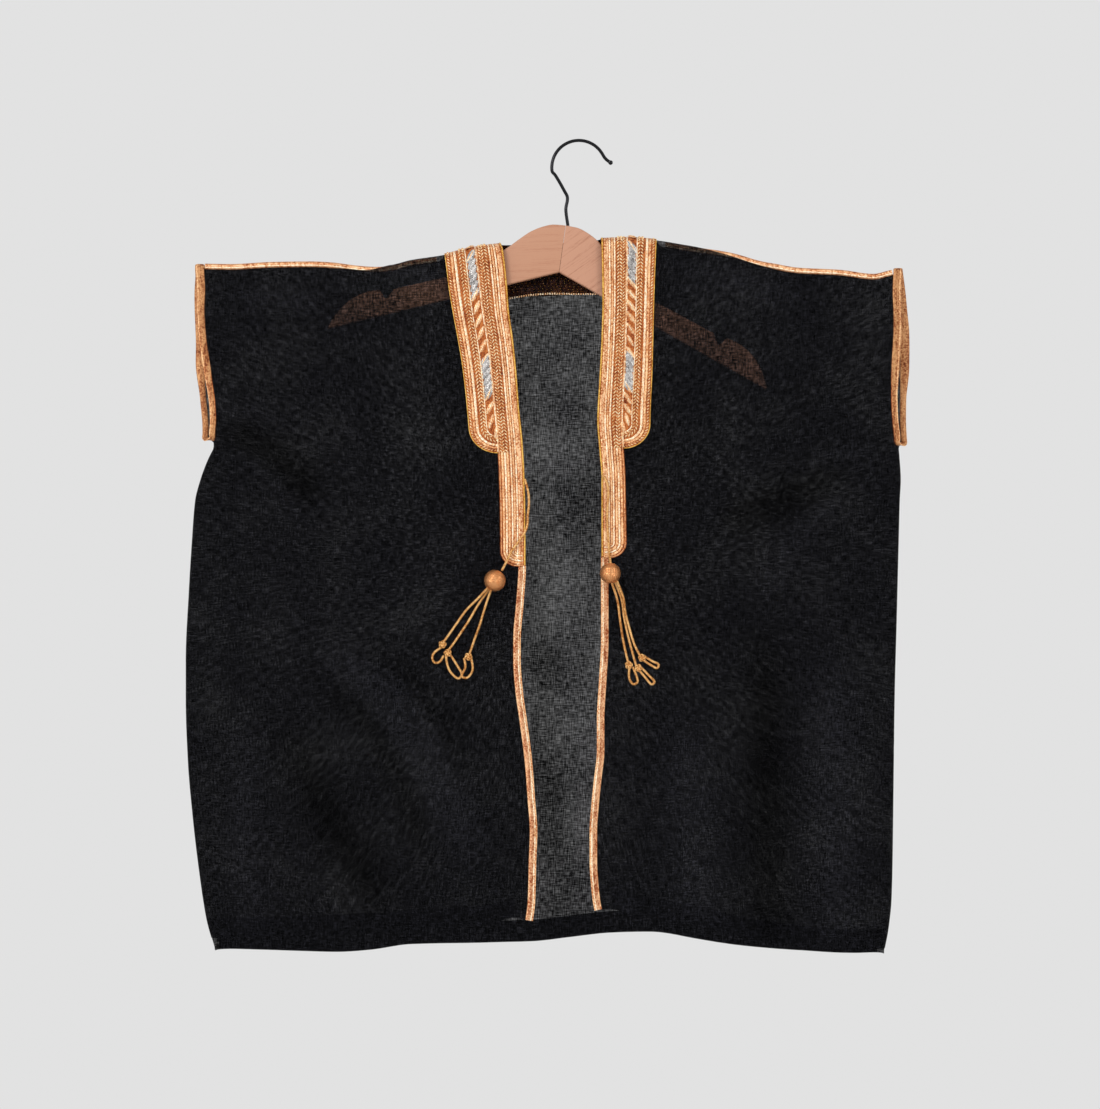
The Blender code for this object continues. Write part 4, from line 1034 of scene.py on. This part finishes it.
def bandStrip(name, front, top, foot, fullShare, corner, high):
    # floss ground of a band with a rounded outer lower corner
    rows = np.concatenate([np.linspace(0, 3.0, 8), np.arange(4.0, top - foot, bands["rowStep"]),
                           [top - foot]])
    across = np.linspace(0, 1, 30)
    z = top - rows
    drop = np.clip((foot + high - z) / high, 0, 1)
    widths = np.where(drop > 0, corner + (fullShare - corner) * np.sqrt(np.maximum(1 - drop**2, 0.0)),
                      fullShare)
    zGrid = np.broadcast_to(z[None, :], (len(across), len(z))).copy()
    shares = across[:, None] * widths[None, :]
    for _ in range(4):
        x = bandX(front, shares, zGrid)
        zGrid = np.minimum(z[None, :], topOf(front, x) - 0.05 - rows[None, :] * 0.02)
    lift = bands["stripLift"]
    outer, _ = onCloth(front, x, zGrid, lift + bands["stripWall"])
    inner, _ = onCloth(front, x, zGrid, lift)
    return shell(name, outer, inner, rustFloss)


petals = {
    "chain": makePetal("chainPetal", (3.8, 1.5, 1.35), goldChain),
    "edge": makePetal("edgePetal", (3.4, 1.15, 1.0), goldChain),
    "leaf": makePetal("leafPetal", (13.4, 4.6, 1.1), goldSatin, 8, 6),
    "silver": makePetal("silverPetal", (13.4, 6.2, 1.1), silverThread, 8, 6),
    "vein": makePetal("veinPetal", (12.6, 1.7, 0.9), creamThread, 6, 5),
    "stitch": makePetal("crossPetal", (1.7, 0.7, 0.4), creamThread, 4, 3),
    "speck": makePetal("speckPetal", (0.6, 0.32, 0.2), ochreCord, 4, 3),
}
silverAt = {"left": [(-112, -148), (-212, -245)], "right": [(-103, -137), (-205, -238)]}
leafPitch = {"left": 12.0, "right": 9.8}


def splitAt(points, normals, ranges):
    # parts of a line inside and outside the given height ranges
    inside = np.zeros(len(points), bool)
    for high, low in ranges:
        inside |= (points[:, 2] < high) & (points[:, 2] > low)
    parts = {True: [], False: []}
    start = 0
    for k in range(1, len(points) + 1):
        if k == len(points) or inside[k] != inside[start]:
            if k - start > 3:
                parts[bool(inside[start])].append((points[start:k], normals[start:k]))
            start = k
    return parts


def makeBands(front):
    name = front["name"]
    flip = front["inward"]
    foot = bandFoot(front)
    wideTop = max(bandTop(front, s) for s in (0.0, 0.5, 1.0))
    base = bands["stripLift"] + bands["stripWall"]
    wide = [bandStrip(name + "WideGround", front, wideTop, foot, 1.0, bands["wideCorner"],
                      bands["wideCornerHigh"])]
    narrow = [bandStrip(name + "NarrowGround", front, foot - 0.4, front["bandEnd"], bands["narrowWidth"],
                        bands["narrowCorner"], bands["narrowCornerHigh"])]

    def ridge(share, width, high, material, outerColumn, endShare=0.05, lump=0.0, pitch=2.6, start=None):
        x, z = columnLine(front, share, outerColumn, endShare, start)
        piece = ribbon(f"{name}Ridge{share}", front, x, z, width, high, base - 0.15, material, lump, pitch)
        (wide if outerColumn else narrow).append(piece)

    # inner columns run the whole way down, to the narrow band's foot
    ridge(0.085, 4.3, 0.42, rustSatin, False)
    ridge(0.150, 2.0, 1.0, creamThread, False, lump=0.13, pitch=3.4)
    ridge(0.196, 1.9, 1.1, goldSatin, False, lump=0.12, pitch=2.9)
    ridge(0.240, 1.9, 0.95, creamThread, False, lump=0.14, pitch=3.2)
    ridge(0.452, 0.9, 0.8, goldSatin, False, lump=0.1)
    # below the wide band's foot, plain satin lines take the place of the chains
    ridge(0.296, 2.4, 0.95, goldSatin, False, lump=0.08, pitch=4.4, start=foot + 1.0)
    ridge(0.346, 2.2, 1.0, creamThread, False, lump=0.1, pitch=3.7, start=foot + 1.0)
    ridge(0.398, 2.4, 0.95, goldSatin, False, lump=0.08, pitch=4.1, start=foot + 1.0)
    # outer columns turn in round the wide band's corner
    ridge(0.472, 1.3, 0.85, creamThread, True, 0.47, lump=0.16, pitch=5.2)
    ridge(0.652, 1.3, 0.85, creamThread, True, 0.47, lump=0.16, pitch=5.2)
    ridge(0.832, 2.7, 0.95, creamThread, True, 0.47, lump=0.14, pitch=3.6)
    ridge(0.888, 2.4, 0.85, goldSatin, True, 0.47, lump=0.14, pitch=4.3)
    ridge(0.992, 1.0, 0.9, ochreCord, True, 0.47, lump=0.12, pitch=1.4)

    jobs = [(0.306, 40, "chain", 3.25, False), (0.363, -40, "chain", 3.25, False),
            (0.412, 42, "edge", 2.9, False),
            (0.690, 40, "chain", 3.25, True), (0.747, -40, "chain", 3.25, True),
            (0.948, 42, "edge", 2.9, True)]
    for index, (share, lean, petal, spacing, outerColumn) in enumerate(jobs):
        x, z = columnLine(front, share, outerColumn, 0.47 if outerColumn else 0.05)
        if not outerColumn:
            x, z = x[z > foot + 1.5], z[z > foot + 1.5]
        line = lineOn(front, x, z, base + 0.05)
        piece = stitchRow(f"{name}Chain{index}", [line], petals[petal], spacing, lean * flip, goldChain,
                          seed=index + 3)
        (wide if outerColumn else narrow).append(piece)
    x, z = columnLine(front, 0.562, True, 0.5)
    points, normals = lineOn(front, x, z, base + 0.05)
    parts = splitAt(points, normals, silverAt[name])
    spacing = leafPitch[name]
    wide.append(stitchRow(name + "Leaves", parts[False], petals["leaf"], spacing, -33 * flip, goldSatin,
                          seed=11))
    wide.append(stitchRow(name + "SilverLeaves", parts[True], petals["silver"], 6.4, -33 * flip,
                          silverThread,
                          seed=12))
    strokes = [(p + n * 0.75, n) for p, n in parts[False]]
    wide.append(stitchRow(name + "LeafVeins", strokes, petals["vein"], spacing, -33 * flip, creamThread,
                          seed=11))
    edgeX, edgeZ = columnLine(front, 0.018, False, 0.05)
    edgePoints, _ = lineOn(front, edgeX, edgeZ, base + 0.35, 0.55)
    narrow.append(twistedCord(name + "EdgeCord", edgePoints, 1.7, ochreCord, 3, 3.4, rounded=True))
    return joined(f"wide_band_{name}", wide), joined(f"narrow_band_{name}", narrow)


trims = {"left": [], "right": [], "back": []}
for half in (left, right):
    name = half["name"]
    wideBand, narrowBand = makeBands(half)
    trims[name] += [settle(wideBand, "gold_braid", f"wide_band_{name}"),
                    settle(narrowBand, "gold_braid", f"narrow_band_{name}")]
print("bands ready")


# band round the outside of the back neck
def makeNeckBand():
    columns = np.linspace(cloth["bandTopLeft"], cloth["bandTopRight"], 150)
    deep = 50.0
    rows = np.concatenate([[0.0, 0.3, 0.8, 1.6, 2.8, 4.4], np.linspace(6.2, deep, 44)])
    x = np.broadcast_to(columns[:, None], (len(columns), len(rows)))
    z = topOf(back, columns)[:, None] - 0.05 - rows[None, :]
    outer, _ = onCloth(back, x, z, 1.6)
    inner, _ = onCloth(back, x, z, 0.8)
    parts = [shell("neckGround", outer, inner, rustFloss)]

    def across(share):
        return columns[3:-3], topOf(back, columns[3:-3]) - 0.6 - deep * share

    for share, width, high, material in [(0.09, 4.2, 0.42, rustSatin), (0.155, 1.9, 1.0, creamThread),
                                         (0.20, 1.8, 1.1, goldSatin), (0.245, 1.8, 0.95, creamThread),
                                         (0.45, 0.9, 0.8, goldSatin), (0.65, 0.9, 0.8, goldSatin),
                                         (0.865, 3.5, 0.95, creamThread), (0.985, 1.0, 0.9, ochreCord)]:
        parts.append(ribbon(f"neckRidge{share}", back, *across(share), width, high, 1.45, material, 0.1))
    for index, (share, lean, petal, spacing) in enumerate([(0.31, 38, "chain", 2.75), (0.375, -38, "chain",
                                                                                       2.75),
                                                           (0.70, 38, "chain", 2.75),
                                                           (0.77, -38, "chain", 2.75),
                                                           (0.945, 40, "edge", 1.75),
                                                           (0.55, -34, "leaf", 5.2)]):
        line = lineOn(back, *across(share), 1.65)
        thread = creamThread if petal == "leaf" else goldChain
        parts.append(stitchRow(f"neckChain{index}", [line], petals[petal], spacing, lean, thread,
                               seed=index + 21))
    return joined("back_neck_band", parts)


trims["back"].append(settle(makeNeckBand(), "gold_braid", "back_neck_band"))
# stitches that show on the inside of the back, below the hanger
seamLines = []
for drop, wave in [(0.0, 1.6), (-0.9, 1.5)]:
    lineX = np.linspace(-74, 30, 140)
    lineZ = -149.5 + drop + wave * np.sin((lineX + 62) / 17.0) + 0.06 * (lineX + 62)
    points, normals = onCloth(back, lineX, lineZ, -0.7)
    seamLines.append((points, -normals))
specks = []
for row in range(9):
    lineX = np.linspace(-74 + row % 3, 28, 100)
    points, normals = onCloth(back, lineX, -123.0 - 2.7 * row + 0.5 * np.sin(lineX / 3.1 + row), -0.6)
    specks.append((points, -normals))
inside = joined("neckInsideStitches", [
    stitchRow("neckSeamStitches", seamLines, petals["stitch"], 2.3, 0, creamThread, seed=31),
    stitchRow("neckSpecks", specks, petals["speck"], 4.1, 20, ochreCord, seed=32)])
trims["back"].append(settle(inside, "gold_braid"))
print("neck band ready")


# pipings and cuff bindings
def stripTube(name, path, widths, widthAxis, thick, material, closed=False, sides=20, lump=0.0, pitch=1.3):
    # wound strip of oval section, its width along widthAxis, with fine ribs across it
    _, sideways, ups = pathFrames(path, closed, widthAxis)
    run = runOf(path)
    angles = 2 * math.pi * (np.arange(sides) + 0.5) / sides
    c, s = np.cos(angles), np.sin(angles)
    squareC, squareS = np.sign(c) * np.abs(c)**0.72, np.sign(s) * np.abs(s)**0.72
    ripple = 1 + lump * np.sin(2 * math.pi * run / pitch)
    widths = np.broadcast_to(np.asarray(widths, float), (len(path),))
    rings = ringsOf(path, sideways, ups, widths[:, None] / 2 * squareC[None, :],
                    thick / 2 * squareS[None, :] * ripple[:, None])
    return ringMesh(name, rings, material, closed)


def beadLine(name, path, aside, up, width, high, material, widthAxis, outward, lump=0.16, pitch=2.6,
             closed=False):
    # raised line of thread that runs along a strip, aside from its middle
    _, sideways, ups = pathFrames(path, closed, widthAxis)
    ups *= np.sign((ups * outward).sum(axis=1, keepdims=True) + 1e-9)
    centre = path + sideways * aside + ups * up
    run = runOf(centre)
    swell = (1 + lump * np.sin(2 * math.pi * run / pitch + 0.8 * np.sin(run / 11)))[:, None]
    angles = 2 * math.pi * np.arange(8) / 8
    rings = ringsOf(centre, sideways, ups, width / 2 * np.cos(angles) * swell,
                    high / 2 * np.sin(angles) * swell)
    return ringMesh(name, rings, material, closed)


piping = {"width": 7.5, "thick": 2.9, "step": 0.7, "inset": 3.85}
cuffLook = {"width": 8.8, "narrowing": 3.1, "thick": 2.7}
outward = np.array((0, -1.0, 0))                  # from the front pipings towards the viewer


def frontPiping(front):
    name = front["name"]
    start = front["bandEnd"] + 1.0
    foot = float(curve(front["hem"], front["frontEdge"][-1][1])) + 0.2
    z = np.arange(start, foot, -2.0)
    x = curve(front["frontEdge"], z) - front["inward"] * piping["inset"]
    y = -depthOf(front, freeEdge(front, z), z)
    path = smoothRoute(np.stack([x, y, z], axis=1), piping["step"])
    axis = (1.0, 0, 0)
    toOpening = front["inward"]
    parts = [stripTube(name + "PipingBody", path, piping["width"], axis, piping["thick"], pipeSatin,
                       lump=0.02)]
    # cream bead line on one half of the piping: raised thread whose light colour is a painted highlight
    parts.append(beadLine(name + "PipingBeads", path, toOpening * 1.5, 1.2, 1.5, 1.2, creamThread, axis,
                          outward))
    parts.append(beadLine(name + "PipingInner", path, toOpening * 3.1, 0.7, 1.2, 1.2, goldSatin, axis,
                          outward))
    parts.append(beadLine(name + "PipingOuter", path, -toOpening * 3.2, 0.7, 0.7, 0.7, goldSatin, axis,
                          outward, lump=0.05))
    return joined(f"front_piping_{name}", parts)


def shoulderPiping(name, start, end):
    size = cloth["pipingSize"]
    x = np.linspace(start, end, 60)
    roll = rolledOver(x)
    z = curve(shoulder, x) - size / 2 - cloth["rollDrop"] * roll
    path = smoothRoute(np.stack([x, 4.2 * np.sqrt(roll), z], axis=1), 0.8)
    axis = (0, 0, 1.0)
    parts = [stripTube(name + "Body", path, size + 0.5, axis, size - 0.5, pipeSatin, lump=0.02)]
    # cream bead on one half: raised thread whose lighter colour is a painted highlight on that half of the
    # piping
    parts.append(beadLine(name + "Light", path, -0.9, 2.0, 1.7, 1.0, creamThread, axis, outward, lump=0.06,
                          pitch=3.4))
    parts.append(beadLine(name + "Copper", path, 0.9, 2.0, 1.3, 0.8, goldSatin, axis, outward, lump=0.06,
                          pitch=2.2))
    return joined(name, parts)


def cuffWidths(path, front):
    # the binding narrows towards its foot, where the sleeve's dark mouth shows between its two legs
    low = front["cuffBottom"]
    return cuffLook["width"] - cuffLook["narrowing"] * ease(low + 75, low + 40, path[:, 2])


def cuffBinding(name, front, topZ, topX):
    rows = front["cuff"]
    ahead = [(row[1], -row[3], row[0]) for row in rows]
    behind = [(row[2], row[3], row[0]) for row in rows][::-1]
    low = front["cuffBottom"] + 1.5
    under = [(ahead[-1][0], -2.4, low + 1.4), ((ahead[-1][0] + behind[0][0]) / 2, 0.0, low),
             (behind[0][0], 2.4, low + 1.4)]
    path = smoothRoute(ahead + under + behind + [(topX, 0.0, topZ - 1.5)], 0.7, closed=True)
    axis = (1.0, 0, 0)
    outer = -front["inward"]
    middle = path.mean(axis=0)
    away = path - middle
    away[:, 0] = 0
    parts = [stripTube(name + "Body", path, cuffWidths(path, front), axis, cuffLook["thick"], cuffSatin,
                       closed=True)]
    # lighter bead along the outer edge: raised thread, its lighter colour a painted highlight
    parts.append(beadLine(name + "Edge", path, outer * 2.5, 0.8, 1.3, 1.3, goldSatin, axis, away, lump=0.08,
                          pitch=2.0, closed=True))
    parts.append(beadLine(name + "Inner", path, -outer * 2.7, 0.8, 0.8, 0.8, rustFloss, axis, away,
                          lump=0.08, pitch=2.0, closed=True))
    return joined(name, parts)


for half in (left, right):
    name = half["name"]
    trims[name].append(settle(frontPiping(half), "gold_piping", f"front_piping_{name}"))
for name, start, end in [("shoulder_piping_left", -362.5, cloth["bandTopLeft"] - 8),
                         ("shoulder_piping_right", cloth["bandTopRight"] + 9, 303.8)]:
    trims["back"].append(settle(shoulderPiping(name, start, end), "gold_piping", name))
for name, half, topZ, topX in [("cuff_binding_left", left, -118.0, -367.5),
                               ("cuff_binding_right", right, -122.0, 309.5)]:
    trims["back"].append(settle(cuffBinding(name, half, topZ, topX), "gold_piping", name))
print("pipings and cuffs ready")

# hanger: two bent halves and a wire hook
hanger = {"centre": (-15.9, -103.4), "tilt": math.radians(7.9), "thick": 12.0, "round": 2.6}
hangerTop = [(0.15, 22.3), (6, 22.1), (12, 21.6), (21.5, 18.3), (32, 12.4), (43, 2.8), (50.5, -4.6),
             (57, -10.2), (70, -21), (84, -32), (97, -39.5), (110, -44), (156.5, -61.5)]
hangerNotch = [(158.6, -66.0), (161.6, -71.0), (163.2, -71.8), (165.2, -70.2), (168, -65.8)]
hangerTip = [(170, -64.4), (180, -67.2), (189, -71.8), (198, -79), (206, -89), (211.5, -99), (214.6, -108)]


def hangerArm(name, side, material):
    along = np.linspace(0.15, 156.5, 64)
    tip = smoothRoute([(a, 0, h) for a, h in hangerTip], 4.0)
    outline = list(zip(along, curve(hangerTop, along))) + hangerNotch + [(p[0], p[2]) for p in tip]
    outline.append((0.15, -23.4))
    bm = bmesh.new()
    half = hanger["thick"] / 2 * mm
    face = bm.faces.new([bm.verts.new((side * a * mm, -half, h * mm)) for a, h in outline])
    grown = bmesh.ops.extrude_face_region(bm, geom=[face])
    bmesh.ops.translate(bm, verts=[v for v in grown["geom"] if isinstance(v, bmesh.types.BMVert)],
                        vec=(0, 2 * half, 0))
    bmesh.ops.recalc_face_normals(bm, faces=bm.faces)
    rims = [e for e in bm.edges if abs(e.verts[0].co.y - e.verts[1].co.y) < 1e-7
            and not all(abs(v.co.x) < 0.16 * mm for v in e.verts)]
    bmesh.ops.bevel(bm, geom=rims, offset=hanger["round"] * mm, segments=4, profile=0.5, affect="EDGES",
                    clamp_overlap=True)
    bmesh.ops.triangulate(bm, faces=bm.faces)
    c, s = math.cos(hanger["tilt"]), math.sin(hanger["tilt"])
    for v in bm.verts:
        x, z = v.co.x, v.co.z
        v.co.x = hanger["centre"][0] * mm + x * c + z * s
        v.co.z = hanger["centre"][1] * mm - x * s + z * c
    mesh = bpy.data.meshes.new(name)
    bm.to_mesh(mesh)
    bm.free()
    mesh.shade_smooth()
    mesh.set_sharp_from_angle(angle=math.radians(30))
    mesh.materials.append(material)
    return newObject(name, mesh)


settle(hangerArm("hanger_arm_left", -1, beechLeft), "beech", "hanger_arm_left")
settle(hangerArm("hanger_arm_right", 1, beechRight), "beech", "hanger_arm_right")

hook = {"diameter": 3.2, "bowDrop": -24.6, "knob": 2.3,
        "foot": [(-12.6, -66), (-11.2, -57), (-11.4, -52.5), (-14, -47.5), (-19, -38.5), (-23, -32)],
        "angles": [188, 172, 156, 140, 124, 107, 90, 73, 57, 44],
        "tail": [(22.2, -10.6), (24.6, -14.6), (27.2, -17.4), (30.6, -19.8), (32.8, -21.0)]}


def makeHook():
    radius = -hook["bowDrop"] + hook["diameter"] / 2
    bow = [(radius * math.cos(math.radians(a)), hook["bowDrop"] + radius * math.sin(math.radians(a)))
           for a in hook["angles"]]
    c, s = math.cos(hanger["tilt"]), math.sin(hanger["tilt"])
    height = float(curve(hangerTop, 2.2)) + 0.3
    start = (hanger["centre"][0] + 2.2 * c + height * s, hanger["centre"][1] - 2.2 * s + height * c)
    path = smoothRoute([(x, 0, z) for x, z in [start] + hook["foot"] + bow + hook["tail"]], 0.8)
    run = runOf(path)
    rest = run[-1] - run
    knob = hook["knob"]
    bead = np.sqrt(np.clip(knob**2 - (rest - knob)**2, 0.02, None))
    wire = hook["diameter"] / 2
    radii = np.where(rest < 2 * knob, np.maximum(bead, np.where(rest > knob, wire, 0)), wire)
    _, sideways, ups = pathFrames(path, False, (0, 1.0, 0))
    angles = 2 * math.pi * np.arange(20) / 20
    rings = ringsOf(path, sideways, ups, radii[:, None] * np.cos(angles), radii[:, None] * np.sin(angles))
    return ringMesh("hanger_hook", rings, hookSteel)


settle(makeHook(), "hook_wire", "hanger_hook")
print("hanger and hook ready")

for thing in [*panels.values(), *hems.values()]:
    thing.visible_shadow = False      # sheer cloth: light reaches the hanger behind it
    thing.visible_diffuse = False

# the petal templates are removed
for petal in petals.values():
    bpy.data.objects.remove(petal, do_unlink=True)
